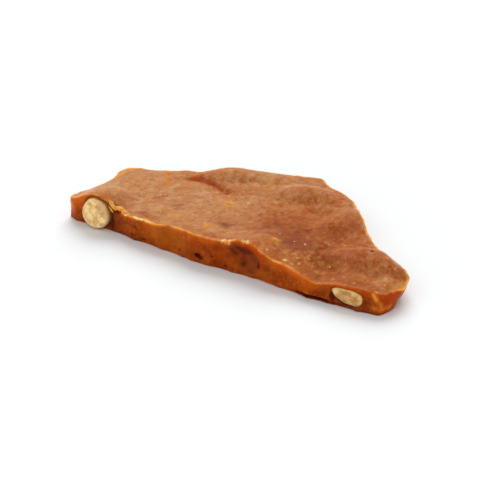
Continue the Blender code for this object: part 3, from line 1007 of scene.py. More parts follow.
# How strong a line is, and how much of that one gives up for being broken
LINE_LEVEL = 1.1
LINE_LOSS = 0.2
# Painted glints along the crests of the valley's wrinkles: middle, half sizes, turn, spacing in millimetres,
# and how much they wander
WRINKLE_GLINTS = ((72.6, 6.0), (8.0, 3.4), 4.0, 1.15, 6.0)
# The part of each wave that gets a painted glint, where -1 is its trough and 1 its crest
GLINT_SPAN = (-0.2, 0.9)


def paint_lines(mesh, x, y, on_top):
    """The lines drawn in the skin, and the painted glints on the valley's wrinkles."""
    for name, (line_points, half_width, broken) in DRAWN_LINES.items():
        off = distance_to_line(x, y, line_points) + LINE_STRAY * half_width * lumps(x, y, 6.0, 1.6)
        line = np.exp(-((off / half_width) ** LINE_BORDER))
        level = LINE_LEVEL - LINE_LOSS * broken + broken * lumps(x, y, 2.0, 1.1)
        paint(mesh, name, line * level * on_top)
    # Painted glints on the crests of the valley's wrinkles
    middle, (half_length, half_width), degrees, spacing, wander = WRINKLE_GLINTS
    along, across = turned(x, y, middle, degrees)
    waves = np.cos(2 * math.pi * across / spacing + wander * lumps(x / 2, y, 1.0, 1.2))
    streaks = ramp(waves, *GLINT_SPAN)
    streaks *= np.exp(-((along / half_length) ** 2) - (across / half_width) ** 2)
    paint(mesh, "wrinkle_glints", streaks * stretches(x, y, 4.0, 1.5, -0.3, 0.3) * on_top)


print("lines in the skin:", list(DRAWN_LINES))

# %% [markdown]
# Specks of golden and of dark sugar are scattered through the skin. Each lies round one point of a scatter,
# pushed about a little. They are denser towards the right end, as on the real sheet, and there the extra
# golden ones are painted glints on its wrinkled and crumpled skin.

# %% Specks of the skin
# The specks are longer from front to back, as the sheet was drawn that way
SPECK_SIZE = 1.35
SPECK_STRETCH = 1.6
SPECK_STRAY = 0.8
# A speck is full up to the first share of the spacing and gone at the second
SPECK_SHARE = (0.10, 0.34)
DARK_SPECK_SIZE = 1.3 * SPECK_SIZE
# Where along X there are more specks: past the valley's left side, and again at the right tip. There the
# extra golden ones are painted glints
MORE_SPECKS = (60.0, 72.0)
TIP_SPECKS = (92.0, 101.0)
# The share of golden specks at the left, how many more each of those places has, and the share of dark ones
GOLDEN_SHARE = 0.35
GOLDEN_MORE = 0.45
DARK_SHARE = 0.5


def paint_specks(mesh, x, y, on_top):
    """Golden specks, some of them painted glints, and dark specks in the skin."""
    spaced_x = x + SPECK_STRAY * lumps(x, y, 20.0, 1.0)
    spaced_y = y / SPECK_STRETCH
    more = ramp(x, *MORE_SPECKS)
    near = cells(spaced_x, spaced_y, np.full(len(x), 2.0), SPECK_SIZE)
    golden = (1.0 - ramp(near, *SPECK_SHARE)) * (GOLDEN_SHARE + GOLDEN_MORE * (ramp(x, *TIP_SPECKS) + more))
    paint(mesh, "speck", golden * stretches(x, y, 12.0, 3.0, -0.3, 0.2) * on_top)
    near = cells(spaced_x, spaced_y, np.full(len(x), 9.0), DARK_SPECK_SIZE)
    dark = (1.0 - ramp(near, *SPECK_SHARE)) * (DARK_SHARE + (1.0 - DARK_SHARE) * more)
    paint(mesh, "dark_speck", dark * stretches(x, y, 15.0, 4.0) * on_top)


print("specks lie about", SPECK_SIZE, "mm apart")

# %% [markdown]
# The lip is the thinnest candy, so it lets light through. That light is painted: golden light on the lip,
# pale highlights and glints along it, and orange light for a millimetre or two below. How strong each is
# changes along the front edge, and a list of places says how. One row of the same numbers does for all of
# the back.

# %% Painted light in the lip
# Along the front: place along X, painted golden light and pale highlights on the lip, and how far the
# painted orange light shows below it
LIP_LIGHT = [
    (-4.0, 1.2, 0.1, 1.8),
    (2.0, 1.1, 0.1, 1.5),
    (5.0, 0.6, 0.0, 0.8),
    (11.0, 0.5, 0.0, 0.8),
    (13.5, 0.9, 0.2, 0.3),
    (17.5, 1.0, 0.9, 0.2),
    (20.0, 1.1, 1.1, 0.2),
    (26.0, 1.0, 0.8, 0.3),
    (29.0, 0.9, 0.1, 0.6),
    (33.0, 0.5, 0.0, 0.4),
    (35.0, 0.9, 0.1, 0.7),
    (39.0, 0.9, 0.1, 0.8),
    (40.5, 0.2, 0.0, 0.3),
    (42.0, 0.8, 0.0, 0.7),
    (46.0, 0.9, 0.1, 0.8),
    (50.0, 0.8, 0.1, 0.7),
    (52.0, 0.9, 0.3, 0.5),
    (55.5, 0.8, 0.4, 0.5),
    (57.3, 0.5, 0.0, 0.7),
    (58.5, 0.9, 0.4, 1.0),
    (62.5, 0.9, 0.3, 1.0),
    (64.0, 0.5, 0.0, 0.8),
    (68.0, 0.4, 0.0, 0.8),
    (71.0, 0.6, 0.3, 1.0),
    (76.0, 0.6, 0.1, 1.0),
    (79.0, 0.3, 0.0, 0.9),
    (86.0, 0.1, 0.0, 0.6),
    (100.0, 0.1, 0.0, 0.4),
    (101.5, 0.5, 0.3, 0.4),
    (103.0, 0.2, 0.0, 0.1),
    (108.0, 0.5, 0.0, 0.1),
]
# Painted glints on single chips of the lip: place and radius
LIP_CHIP_GLINTS = [
    ((33.4, -1.6, 6.3), 0.6),
    ((53.2, -0.9, 8.7), 0.8),
    ((54.8, -0.7, 8.9), 0.7),
    ((59.2, -0.7, 10.3), 0.9),
    ((60.8, -0.5, 10.5), 0.9),
    ((66.6, 0.6, 9.0), 0.45),
    ((72.4, 1.0, 7.6), 0.6),
    ((74.6, 0.8, 7.1), 0.5),
]
BACK_LIP_LIGHT = (0.8, 0.3, 0.4)
# How far from the rim the painted golden light and highlights reach, and how far below the skin the painted
# orange light does
LIP_REACH = 0.40
GLOW_REACH = 1.5
# The painted orange light reaches at least this share of its depth
GLOW_LEAST = 0.6
# Where the front's colours give way to the back's, along Y
FRONT_COLOURS_FADE = (5.0, 9.0)
# The painted golden light also goes up and down slowly along the lip, in lumps of that size
GOLD_SWING = 0.8
GOLD_SWING_SIZE = 4.5
HIGHLIGHT_LEVEL = 1.3
# How bright a chip's painted glint is, how ragged, and where it fades out, both as shares of its radius
CHIP_LIGHT = 0.9
CHIP_RAGGED = 0.9
CHIP_FADE = (0.2, 1.3)


def paint_lip(mesh, points, depth):
    """Painted golden light and pale highlights on the lip, and painted orange light below it."""
    x, y, z = points.T
    front = 1.0 - ramp(y, *FRONT_COLOURS_FADE)
    places, *lights = np.array(LIP_LIGHT).T
    painted_lip_light, painted_lip_highlight, painted_glow = (
        front * np.interp(x, places, light) + (1.0 - front) * behind
        for light, behind in zip(lights, BACK_LIP_LIGHT)
    )
    # Painted golden light along the lip, then pale highlights and glints on it
    lip = np.exp(-((distance_to_points(points, rows[-1]) / LIP_REACH) ** 2))
    slow = GOLD_SWING * lumps(x, y, z + 9.0, GOLD_SWING_SIZE)
    paint(mesh, "painted_lip_light", lip * painted_lip_light * (uneven(x, y, z + 4.0, 1.5, 1.0) + slow))
    beads = HIGHLIGHT_LEVEL * lip * painted_lip_highlight * stretches(x, y, z + 14.0, 1.3, -0.25, 0.3)
    for place, radius in LIP_CHIP_GLINTS:
        off = np.linalg.norm(points - place, axis=1) / radius + CHIP_RAGGED * lumps(x, y, z, 0.7)
        beads = np.maximum(beads, CHIP_LIGHT * (1.0 - ramp(off, *CHIP_FADE)))
    paint(mesh, "painted_lip_highlight", beads)
    # Painted orange light below the lip
    reach = GLOW_REACH * (GLOW_LEAST + painted_glow) * uneven(x, y, z, 3.0, 0.6)
    paint(mesh, "painted_glow", painted_glow * np.exp(-((np.clip(depth, 0.0, None) / reach) ** 2)))


print("places with their own light along the lip:", len(LIP_LIGHT), "and chips:", len(LIP_CHIP_GLINTS))

# %% [markdown]
# The break is darkest where the sugar browned most. Painted shade darkens it further under the chip beside
# the left nut, in a gap and in pits, and along its foot. Light is painted on it too: lighter patches where it
# catches the light, red-orange where the candy is thin and light comes through, and a highlight along the
# corner at the right end. Its patches are placed on the front as it is seen face on, along X and Z, and fade
# out behind.

# %% Colours of the break
# Middle x and z on the front break, half sizes, turn and strength
BURNT_AND_SHADE_PATCHES = [
    # Painted shade under the chip beside the left nut
    ((14.8, 3.0), 2.8, 6.0, 0.0, 1.2),
    ((22.0, 1.0), 4.0, 1.4, 0.0, 0.3),
    # Painted shade in the pits along the foot
    ((21.1, 1.8), 0.9, 0.5, 0.0, 0.9),
    ((25.2, 1.3), 1.1, 0.5, 0.0, 0.9),
    ((38.4, 1.8), 0.6, 0.5, 0.0, 0.8),
    ((54.3, 1.5), 1.1, 0.5, 0.0, 0.9),
    ((49.0, 3.4), 6.5, 4.0, 0.0, 0.3),
    ((43.0, 2.0), 4.0, 2.0, 0.0, 0.3),
    # Painted shade in the gap left of the right nut, and along the foot under it and to its right
    ((87.0, 3.4), 2.6, 2.6, 0.0, 1.0),
    ((93.0, 0.3), 6.0, 0.7, 0.0, 0.8),
    ((102.5, 0.3), 4.0, 0.7, 0.0, 0.8),
    ((99.4, 2.6), 1.8, 2.6, 0.0, 0.7),
    ((104.6, 4.2), 0.9, 1.4, 0.0, 0.5),
    ((-1.0, 1.5), 2.5, 1.5, 0.0, 0.4),
]
# The break is a little browned everywhere, in stretches, and darker along its foot with painted shade: how
# much, and how high up
BURNT_STRETCHES = 0.25
FOOT_SHADE = 0.2
FOOT_SHADE_HEIGHT = 1.6
# Lighter patches where the break catches the light: painted light
LIGHT_PATCHES = [
    ((34.0, 4.6), 7.0, 3.6, 0.0, 0.9),
    ((66.0, 2.2), 3.5, 1.0, -10.0, 0.7),
]
# Red-orange where the candy is thin: painted light coming through it
RED_GLOW_PATCHES = [
    ((61.5, 8.9), 4.5, 1.0, -8.0, 1.2),
    ((52.0, 5.0), 3.0, 3.0, 0.0, 0.4),
    ((44.5, 5.0), 1.6, 3.0, 0.0, 0.4),
    ((105.8, 3.0), 2.6, 4.5, 0.0, 1.3),
    ((-2.0, 3.0), 3.5, 5.0, 0.0, 0.2),
    ((99.0, 5.2), 3.0, 1.0, 0.0, 0.6),
]
# Painted red-orange light round the nut's print, where its candy is thin, between these reaches of it
RED_GLOW_RING = (0.92, 1.08, 1.3)
# A painted highlight along the corner at the right end, which spreads at its foot: two ends, width and
# strength
CORNER_HIGHLIGHTS = [
    ((101.1, 0.3, 5.6), (103.4, 0.7, 2.4), 0.55, 0.8),
    ((101.4, -0.3, 1.6), (103.2, 0.5, 1.6), 0.7, 0.55),
    ((103.2, 0.5, 1.6), (104.6, 3.4, 1.7), 0.6, 0.65),
]
# The dark part of the print, which is its red skin with painted shade at its top and in its pit, and its
# brown part: middle x and z, half sizes, turn and strength
PRINT_PATCHES = {
    "print_skin_and_shade": [
        ((57.4, 6.4), 2.6, 2.0, -10.0, 1.1),
        ((60.4, 6.0), 2.4, 1.4, -30.0, 0.6),
        ((59.0, 3.0), 1.4, 0.8, -20.0, 0.8),
        ((64.4, 4.2), 1.0, 0.9, 0.0, 1.2),
    ],
    "print_brown": [
        ((61.4, 4.2), 3.4, 2.2, -15.0, 0.9),
        ((61.0, 1.8), 2.8, 1.2, 0.0, 0.6),
    ],
}
# The ring round the print shows only to the right of this place along X
RED_GLOW_RING_FROM = 61.0
RED_GLOW_RING_STRENGTH = 0.9
# The print's own colours stay in front of this place along Y
PRINT_COLOURS_TO = 3.0


def paint_break(mesh, points):
    """Burnt places with painted shade, painted light and highlight, red-orange light, and the nut's print."""
    x, y, z = points.T
    front = 1.0 - ramp(y, *FRONT_COLOURS_FADE)
    burnt_and_shade = front * patches(x, z, BURNT_AND_SHADE_PATCHES) * uneven(x, y, z, 2.5, 0.8)
    # Darker along the foot: painted shade
    foot = FOOT_SHADE * (1.0 - ramp(z, 0.0, FOOT_SHADE_HEIGHT))
    burnt_and_shade += BURNT_STRETCHES * stretches(x, y, z, 6.0, 0.0, 0.6) + foot
    paint(mesh, "burnt_and_shade", burnt_and_shade)
    # Lighter patches: painted light
    paint(mesh, "painted_light_patch", front * patches(x, z, LIGHT_PATCHES) * uneven(x, y, z + 2.0, 2.0, 0.8))
    # Red-orange where the candy is thin: painted light
    inner, strongest, outer = RED_GLOW_RING
    reach = reach_from(points, *NUT_PRINT)
    ring = ramp(reach, inner, strongest) * (1.0 - ramp(reach, strongest, outer)) * (x > RED_GLOW_RING_FROM)
    red_glow = front * (patches(x, z, RED_GLOW_PATCHES) + RED_GLOW_RING_STRENGTH * ring)
    paint(mesh, "red_glow", red_glow * uneven(x, y, z + 3.0, 1.6, 0.8))
    # A painted highlight along the right end's corner
    corner_highlight = np.zeros(len(points))
    for start, end, width, strength in CORNER_HIGHLIGHTS:
        run = np.array(end) - start
        share = np.clip((points - start) @ run / (run @ run), 0.0, 1.0)
        off = np.linalg.norm(points - start - share[:, None] * run, axis=1)
        corner_highlight = np.maximum(corner_highlight, strength * np.exp(-((off / width) ** 2)))
    paint(mesh, "corner_highlight", corner_highlight * uneven(x, y, z, 1.7, 1.0))
    # The print's dark part carries painted shade
    for name, spots in PRINT_PATCHES.items():
        ragged = (y < PRINT_COLOURS_TO) * uneven(x, y, z + 5.0, 1.5, 0.9)
        paint(mesh, name, patches(x, z, spots) * ragged)


print("patches of the break:", len(BURNT_AND_SHADE_PATCHES + LIGHT_PATCHES + RED_GLOW_PATCHES))

# %% [markdown]
# Hollows and sockets get painted shade inside, as little light gets out of them again. A point counts as
# inside when it lies near the surface of the egg that made the hollow.

# %% Painted shade in the hollows
# How dark the painted shade is in a hollow, a small pit, a tiny bubble and a socket
HOLLOW_DARK = 0.9
SMALL_PIT_DARK = 0.55
BUBBLE_DARK = 0.4
SOCKET_DARK = 0.6
# A pit whose smallest half size is under this, in millimetres, is a small one
SMALL_PIT = 0.4
# The painted shade fades out between these reaches of the egg, where 1 is its surface
HOLLOW_FADE = (0.8, 1.5)
BUBBLE_FADE = (0.8, 1.6)
SOCKET_FADE = (0.98, 1.06)


def reach_from_nut(points, name):
    """How far out each point is from a nut's middle, where 1 is the surface of its socket."""
    middle, *sizes, heading, tilt, _ = PEANUTS[name]
    lean = NUT_BUMPS[name][2]
    within = (points - middle) @ np.array(aimed(heading, tilt).to_3x3())
    tail = 0.5 - within[:, 0] / sizes[0]
    within[:, 0] += lean * within[:, 2] * np.clip(tail, 0.0, 1.0)
    within /= np.array(sizes) / 2 + SOCKET_GAP
    return (np.abs(within) ** NUT_BLUNTNESS).sum(axis=1) ** (1 / NUT_BLUNTNESS)


def paint_hollow_shade(mesh, points):
    """Painted shade inside the hollows, the bubbles and the sockets."""
    hollow = np.zeros(len(points))
    for middle, half_sizes in HOLLOWS.values():
        dark = HOLLOW_DARK if min(half_sizes) > SMALL_PIT else SMALL_PIT_DARK
        within = 1.0 - ramp(reach_from(points, middle, half_sizes), *HOLLOW_FADE)
        hollow = np.maximum(hollow, dark * within)
    for middle, half_sizes in small_bubbles:
        within = 1.0 - ramp(reach_from(points, middle, half_sizes), *BUBBLE_FADE)
        hollow = np.maximum(hollow, BUBBLE_DARK * within)
    for name in PEANUTS:
        within = 1.0 - ramp(reach_from_nut(points, name), *SOCKET_FADE)
        hollow = np.maximum(hollow, SOCKET_DARK * within)
    # Painted shade
    paint(mesh, "hollow", hollow)


# %% Paint the slab
# The skin's marks, lines and specks stay this near to the skin, in millimetres
SKIN_PAINT_DEPTH = 0.3


def paint_slab(mesh):
    """Paints the candy and returns each point's depth below the skin, in millimetres."""
    points = points_of(mesh)
    x, y, z = points.T
    depth = top_height(x, y) + skin_relief(x, y) - z
    on_top = depth < SKIN_PAINT_DEPTH
    paint_patches(mesh, x, y, on_top)
    paint_lines(mesh, x, y, on_top)
    paint_specks(mesh, x, y, on_top)
    paint_lip(mesh, points, depth)
    paint_break(mesh, points)
    paint_hollow_shade(mesh, points)
    return depth


slab_depth = paint_slab(slab.data)
print("painted:", [layer.name for layer in slab.data.attributes if layer.data_type == "FLOAT"])

# %% [markdown]
# ## Colours and nodes
#
# A picture's colours are written as sRGB hex values, and shaders work in linear light, so one function
# turns them. Another adds a shader node with its settings and links, which keeps the materials short to
# read. Two more lay one colour over another: where a pattern is strong, or where the mesh was painted.

# %% Colours
def linear(code):
    """An sRGB hex colour as linear red, green, blue and alpha."""
    shades = [int(code[i : i + 2], 16) / 255 for i in (1, 3, 5)]
    return (*[s / 12.92 if s <= 0.04045 else ((s + 0.055) / 1.055) ** 2.4 for s in shades], 1.0)


print("a mid grey in linear light:", round(linear("#808080")[0], 3))


# %% Nodes
# How many rounds of ever finer noise most patterns have
DETAIL = 3.0
# A Mix node has one output for each kind of value, and its colour comes out of this one
MIXED_COLOUR = 2


def add_node(tree, kind, settings, inputs):
    """Adds a node. Inputs go by name or number: a plain value, a node, or (node, output name)."""
    made = tree.nodes.new(kind)
    for name, value in settings.items():
        setattr(made, name, value)
    for key, value in inputs.items():
        named = [socket for socket in made.inputs if socket.enabled and socket.name == key]
        socket = made.inputs[key] if isinstance(key, int) else named[0]
        source = value if isinstance(value, tuple) else (value, None)
        if isinstance(source[0], bpy.types.Node):
            outputs = [s for s in source[0].outputs if s.enabled and source[1] in (None, s.name)]
            tree.links.new(outputs[0], socket)
        else:
            socket.default_value = value
    return made


def new_material(name, shader_values):
    """A Principled material with its plain values set. Returns the material, its tree and the shader."""
    material = bpy.data.materials.new(name)
    material.use_nodes = True
    shader = material.node_tree.nodes["Principled BSDF"]
    for socket, value in shader_values.items():
        shader.inputs[socket].default_value = value
    return material, material.node_tree, shader


def per_mm(size):
    """The texture scale for a pattern of that size in millimetres, in a scene measured in metres."""
    return 1.0 / (size * MM)


# %% Colours over colours
def tint(tree, colour, pattern, span, shade, most=1.0):
    """Lays a shade over a colour where a pattern is strong: from none of it to the most, over that span."""
    start, end = span
    swung = {"Value": pattern, "From Min": start, "From Max": end, "To Max": most}
    share = add_node(tree, "ShaderNodeMapRange", {}, swung)
    mix = {"Factor": share, "A": colour, "B": linear(shade)}
    return add_node(tree, "ShaderNodeMix", {"data_type": "RGBA"}, mix)


def lay_over(tree, colour, layers):
    """Lays painted colours over a colour. A layer has its painted number's name, a share and a colour."""
    for name, share, shade in layers:
        painted = (add_node(tree, "ShaderNodeAttribute", {"attribute_name": name}, {}), "Fac")
        clamped = {"operation": "MULTIPLY", "use_clamp": True}
        weight = add_node(tree, "ShaderNodeMath", clamped, {0: painted, 1: share})
        mix = {"Factor": weight, "A": colour, "B": linear(shade)}
        colour = add_node(tree, "ShaderNodeMix", {"data_type": "RGBA"}, mix)
    return colour


def add_surface(tree, shader, colour, pattern, strength, height):
    """Gives a shader its colour, and a bump from a pattern, at most that many millimetres high."""
    tree.links.new(colour.outputs[MIXED_COLOUR], shader.inputs["Base Color"])
    bumpy = {"Strength": strength, "Distance": height * MM, "Height": pattern}
    bump = add_node(tree, "ShaderNodeBump", {}, bumpy)
    tree.links.new(bump.outputs[0], shader.inputs["Normal"])


# %% [markdown]
# ## Caramel
#
# Boiled sugar is clear, amber glass: its refractive index is about 1.5, and light goes in a millimetre or
# more before it comes out again, red furthest, which is why thin edges glow orange. The same candy has two
# surfaces, so it gets two materials. The skin set in the air: it is satin, and milky with tiny bubbles in
# patches of a millimetre or two. The break snapped cold: it is nearly polished, clear and deep in colour.

# %% Shared values of the candy
CARAMEL_IOR = 1.5
LIGHT_REACH_MM = 1.0
# How far red, green and blue light go in, as shares of that
REACH_OF_COLOURS = (1.0, 0.30, 0.10)
# Painted golden light and pale highlights of the lip
PAINTED_LIP_GOLD = "#ECA038"
PAINTED_LIP_HIGHLIGHT = "#FFDC90"
# Painted shade in hollows, bubbles and sockets
PAINTED_HOLLOW_SHADE = "#541A0E"


def candy_values(gloss, roughness):
    """The plain values that both surfaces of the candy share, with their own gloss and roughness."""
    return {
        "IOR": CARAMEL_IOR,
        "Specular IOR Level": gloss,
        "Roughness": roughness,
        "Subsurface Weight": 1.0,
        "Subsurface Radius": REACH_OF_COLOURS,
        "Subsurface Scale": LIGHT_REACH_MM * MM,
    }


print("caramel's index:", CARAMEL_IOR, "and light reaches", LIGHT_REACH_MM, "mm into it")

# %% [markdown]
# The skin's colour starts from how milky it is: deep brown, then clear caramel, then a milky tan. The milky
# tan also carries painted sheen, as the skin reflects little of the white room. Noise of three sizes swings
# the milk up and down, which gives the mottle, and two more tint it amber and pink. The painted places come
# last, one over another. Its sheen is satin, from a grain that the real skin has too, of a few hundredths of
# a millimetre. That is too fine to show, so the grain is drawn about half a millimetre wide.

# %% Colours of the skin
# How strong the reflection is, where 0.5 is what the refractive index gives. An all-white room shows in
# every part of it, so less of it keeps the colour deep
SKIN_GLOSS = 0.2
SKIN_ROUGHNESS = 0.42
DEEP_SKIN = "#76300E"
CLEAR_SKIN = "#A04A14"
# The milky tan, which also carries painted sheen
MILKY_SKIN = "#C6986A"
AMBER_SKIN = "#B87428"
BLUSH = "#AC5C38"
# Painted light and shade are among these layers: the pile's shadow, orange light by the lip, glints on the
# specks, marks and wrinkles, shade in the fold and the hollows, and the lip's light and highlights
SKIN_LAYERS = [
    ("painted_shadow", 0.80, "#823612"),
    ("painted_glow", 0.12, "#D8792A"),
    ("dark_speck", 0.60, "#8A3A1A"),
    ("speck", 0.70, "#DDA450"),
    ("wrinkle_glints", 0.65, "#DCA254"),
    ("yellow_mark_and_glint", 0.85, "#DC9A34"),
    ("red_mark", 0.85, "#84301A"),
    ("crack", 0.70, "#9A4A18"),
    ("crease_and_shade", 0.90, "#AE500E"),
    ("drip", 0.95, "#CE7814"),
    ("painted_lip_light", 0.90, PAINTED_LIP_GOLD),
    ("painted_lip_highlight", 0.95, PAINTED_LIP_HIGHLIGHT),
    ("hollow", 0.85, PAINTED_HOLLOW_SHADE),
]
# How much milk there is where the skin is deep, clear and milky
DEEP_TO_CLEAR = (0.2, 0.5)
CLEAR_TO_MILKY = (0.5, 1.0)
# Sizes of the mottle in millimetres, and how far each swings the milk over this span of the noise
MOTTLES = [(4.5, 0.11), (1.9, 0.17), (0.8, 0.13)]
MOTTLE_SPAN = (0.3, 0.7)
MOTTLE_ROUGHNESS = 0.6
# The mottle is drawn out from front to back, by the inverse of this
MOTTLE_DRAWN = 0.85
# Size in millimetres, span of the noise, most of the shade, and the shade
SKIN_TINTS = [
    (1.7, (0.42, 0.70), 0.68, AMBER_SKIN),
    (5.0, (0.50, 0.78), 0.42, BLUSH),
]
SKIN_GRAIN_MM = 0.55
SKIN_GRAIN_DETAIL = 4.0
SKIN_GRAIN_STRENGTH = 0.6
SKIN_GRAIN_HEIGHT = 0.07
# The least and the most rough that the grain makes the skin
SATIN = (0.30, 0.56)
print("painted layers of the skin:", len(SKIN_LAYERS))


# %% The skin that set in the air
def air_set_caramel():
    """Satin, milky caramel with a mottle of a few millimetres."""
    material, tree, shader = new_material("air_set_caramel", candy_values(SKIN_GLOSS, SKIN_ROUGHNESS))
    place = (add_node(tree, "ShaderNodeTexCoord", {}, {}), "Object")
    stretched = {"Vector": place, "Scale": (1.0, MOTTLE_DRAWN, 1.0)}
    drawn = add_node(tree, "ShaderNodeMapping", {"vector_type": "POINT"}, stretched)
    milk_and_sheen = (add_node(tree, "ShaderNodeAttribute", {"attribute_name": "milk_and_sheen"}, {}), "Fac")
    start, end = MOTTLE_SPAN
    for size, swing in MOTTLES:
        mottled = {"Vector": drawn, "Scale": per_mm(size), "Detail": DETAIL, "Roughness": MOTTLE_ROUGHNESS}
        mottle = add_node(tree, "ShaderNodeTexNoise", {}, mottled)
        swung = {"Value": mottle, "From Min": start, "From Max": end, "To Min": -swing, "To Max": swing}
        spread = add_node(tree, "ShaderNodeMapRange", {"clamp": False}, swung)
        milk_and_sheen = add_node(tree, "ShaderNodeMath", {"operation": "ADD"}, {0: milk_and_sheen, 1: spread})
    colour = tint(tree, linear(DEEP_SKIN), milk_and_sheen, DEEP_TO_CLEAR, CLEAR_SKIN)
    colour = tint(tree, colour, milk_and_sheen, CLEAR_TO_MILKY, MILKY_SKIN)
    for size, span, most, shade in SKIN_TINTS:
        clouds = {"Vector": drawn, "Scale": per_mm(size), "Detail": DETAIL}
        cloud = add_node(tree, "ShaderNodeTexNoise", {}, clouds)
        colour = tint(tree, colour, cloud, span, shade, most)
    colour = lay_over(tree, colour, SKIN_LAYERS)
    grains = {"Vector": place, "Scale": per_mm(SKIN_GRAIN_MM), "Detail": SKIN_GRAIN_DETAIL}
    grain = add_node(tree, "ShaderNodeTexNoise", {}, grains)
    smoothest, roughest = SATIN
    swung = {"Value": grain, "To Min": smoothest, "To Max": roughest}
    satin = add_node(tree, "ShaderNodeMapRange", {}, swung)
    tree.links.new(satin.outputs[0], shader.inputs["Roughness"])
    add_surface(tree, shader, colour, grain, SKIN_GRAIN_STRENGTH, SKIN_GRAIN_HEIGHT)
    return material


# %% [markdown]
# The break is clear, so what shows is the depth of the candy: brown clouds, streaks that lie flat as the
# caramel was poured, and bright flaws where light comes back. The same flaws give it a slight bump.

# %% Colours of the break
# Even less than the skin's, as a reflected room would veil the depth of clear candy
BREAK_GLOSS = 0.04
BREAK_ROUGHNESS = 0.22
DEEP_CARAMEL = "#963C0A"
BRIGHT_CARAMEL = "#B2500E"
# Painted light and shade are among these layers: light patches, shade with the burnt places, orange and
# red-orange light, shade in the print and the hollows, the corner's highlight, and the lip's light
BREAK_LAYERS = [
    ("painted_light_patch", 0.60, "#AC600E"),
    ("burnt_and_shade", 0.65, "#561C08"),
    ("painted_glow", 0.60, "#E06A10"),
    ("red_glow", 0.85, "#B23C02"),
    ("print_brown", 0.80, "#8A4420"),
    ("print_skin_and_shade", 0.85, "#5C1A16"),
    ("corner_highlight", 0.90, "#F09A34"),
    ("painted_lip_light", 0.90, PAINTED_LIP_GOLD),
    ("painted_lip_highlight", 0.85, PAINTED_LIP_HIGHLIGHT),
    ("hollow", 0.92, PAINTED_HOLLOW_SHADE),
]
# Size in millimetres of each pattern, the span of the noise that it shows over, and its shade
CLOUD_MM = 4.5
CLOUD_SPAN = (0.35, 0.65)
STREAK_MM = 1.4
STREAK_BROWN = "#6E260A"
FLAW_MM = 0.9
FLAW_GOLD = "#CE6E1A"
STREAK_AND_FLAW_SPAN = (0.5, 0.72)
STREAK_AND_FLAW_MOST = 0.6
# The streaks are drawn out along X and Y, by the inverse of this
STREAK_DRAWN = 0.35
FLAW_BUMP_STRENGTH = 0.6
FLAW_BUMP_HEIGHT = 0.1
print("painted layers of the break:", len(BREAK_LAYERS))


# %% The break that snapped cold
def snapped_caramel():
    """Clear, nearly polished caramel with faint clouds and flaws in it."""
    material, tree, shader = new_material("snapped_caramel", candy_values(BREAK_GLOSS, BREAK_ROUGHNESS))
    place = (add_node(tree, "ShaderNodeTexCoord", {}, {}), "Object")
    clouds = {"Vector": place, "Scale": per_mm(CLOUD_MM), "Detail": DETAIL}
    cloud = add_node(tree, "ShaderNodeTexNoise", {}, clouds)
    colour = tint(tree, linear(DEEP_CARAMEL), cloud, CLOUD_SPAN, BRIGHT_CARAMEL)
    stretched = {"Vector": place, "Scale": (STREAK_DRAWN, STREAK_DRAWN, 1.0)}
    drawn = add_node(tree, "ShaderNodeMapping", {"vector_type": "POINT"}, stretched)
    streaks = {"Vector": drawn, "Scale": per_mm(STREAK_MM), "Detail": DETAIL}
    streak = add_node(tree, "ShaderNodeTexNoise", {}, streaks)
    colour = tint(tree, colour, streak, STREAK_AND_FLAW_SPAN, STREAK_BROWN, STREAK_AND_FLAW_MOST)
    flaws = {"Vector": place, "Scale": per_mm(FLAW_MM), "Detail": DETAIL}
    flaw = add_node(tree, "ShaderNodeTexNoise", {}, flaws)
    colour = tint(tree, colour, flaw, STREAK_AND_FLAW_SPAN, FLAW_GOLD, STREAK_AND_FLAW_MOST)
    colour = lay_over(tree, colour, BREAK_LAYERS)
    add_surface(tree, shader, colour, flaw, FLAW_BUMP_STRENGTH, FLAW_BUMP_HEIGHT)
    return material


# %% [markdown]
# Each face takes the skin's material if it lies within about 0.2 mm of the skin, and the break's if it lies
# deeper, so the change falls on the rounded lip.

# %% Give the slab its two surfaces
# How deep the skin's material reaches, in millimetres
SKIN_DEPTH = 0.22
# Faces that meet at more than this many degrees keep a sharp edge
CANDY_CREASE = 38.0

slab.name = "caramel_slab"
slab.data.materials.clear()
slab.data.materials.append(air_set_caramel())
slab.data.materials.append(snapped_caramel())
in_break = [int(slab_depth[list(face.vertices)].mean() > SKIN_DEPTH) for face in slab.data.polygons]
slab.data.polygons.foreach_set("material_index", in_break)
slab.data.shade_smooth()
slab.data.set_sharp_from_angle(angle=math.radians(CANDY_CREASE))
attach(slab, "root")
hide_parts("candy_slab")
print("faces in the break:", sum(in_break), "of", len(in_break))

# %% [markdown]
# ## Peanuts
#
# A roasted kernel is matt and cream, and a broken one shows a waxy cut with tan veins. The nut is the same
# egg as its socket, a little smaller. One flat cut opens it where the slab broke. The cut is filled with
# fine triangles, so that its face can bulge, because a nut tears rather than cuts clean.

# %% A nut with its torn face
# Sides and rings of the nut's egg, and the step of the triangles on its face in millimetres
DRESSED_NUT_GRID = (96, 60)
CUT_STEP = 0.24
# Points this near to the cut, in metres, count as on it
ON_THE_CUT = 1e-8
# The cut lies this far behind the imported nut's, and the face bulges out again by the crown
SET_BACK = 0.4
CROWN = 0.5
CROWN_REACH = 1.9
# Height and size of the torn relief, which starts from nothing over this stretch from the rim
TORN = [(0.10, 1.8), (0.05, 0.7)]
TORN_FROM_RIM = (0.0, 0.6)


def ordered_loop(edges):
    """The points of a closed run of edges, in order."""
    chosen = set(edges)
    loop = list(edges[0].verts)
    while True:
        steps = [edge.other_vert(loop[-1]) for edge in loop[-1].link_edges if edge in chosen]
        ahead = [vert for vert in steps if vert is not loop[-2]][0]
        if ahead is loop[0]:
            return loop
        loop.append(ahead)


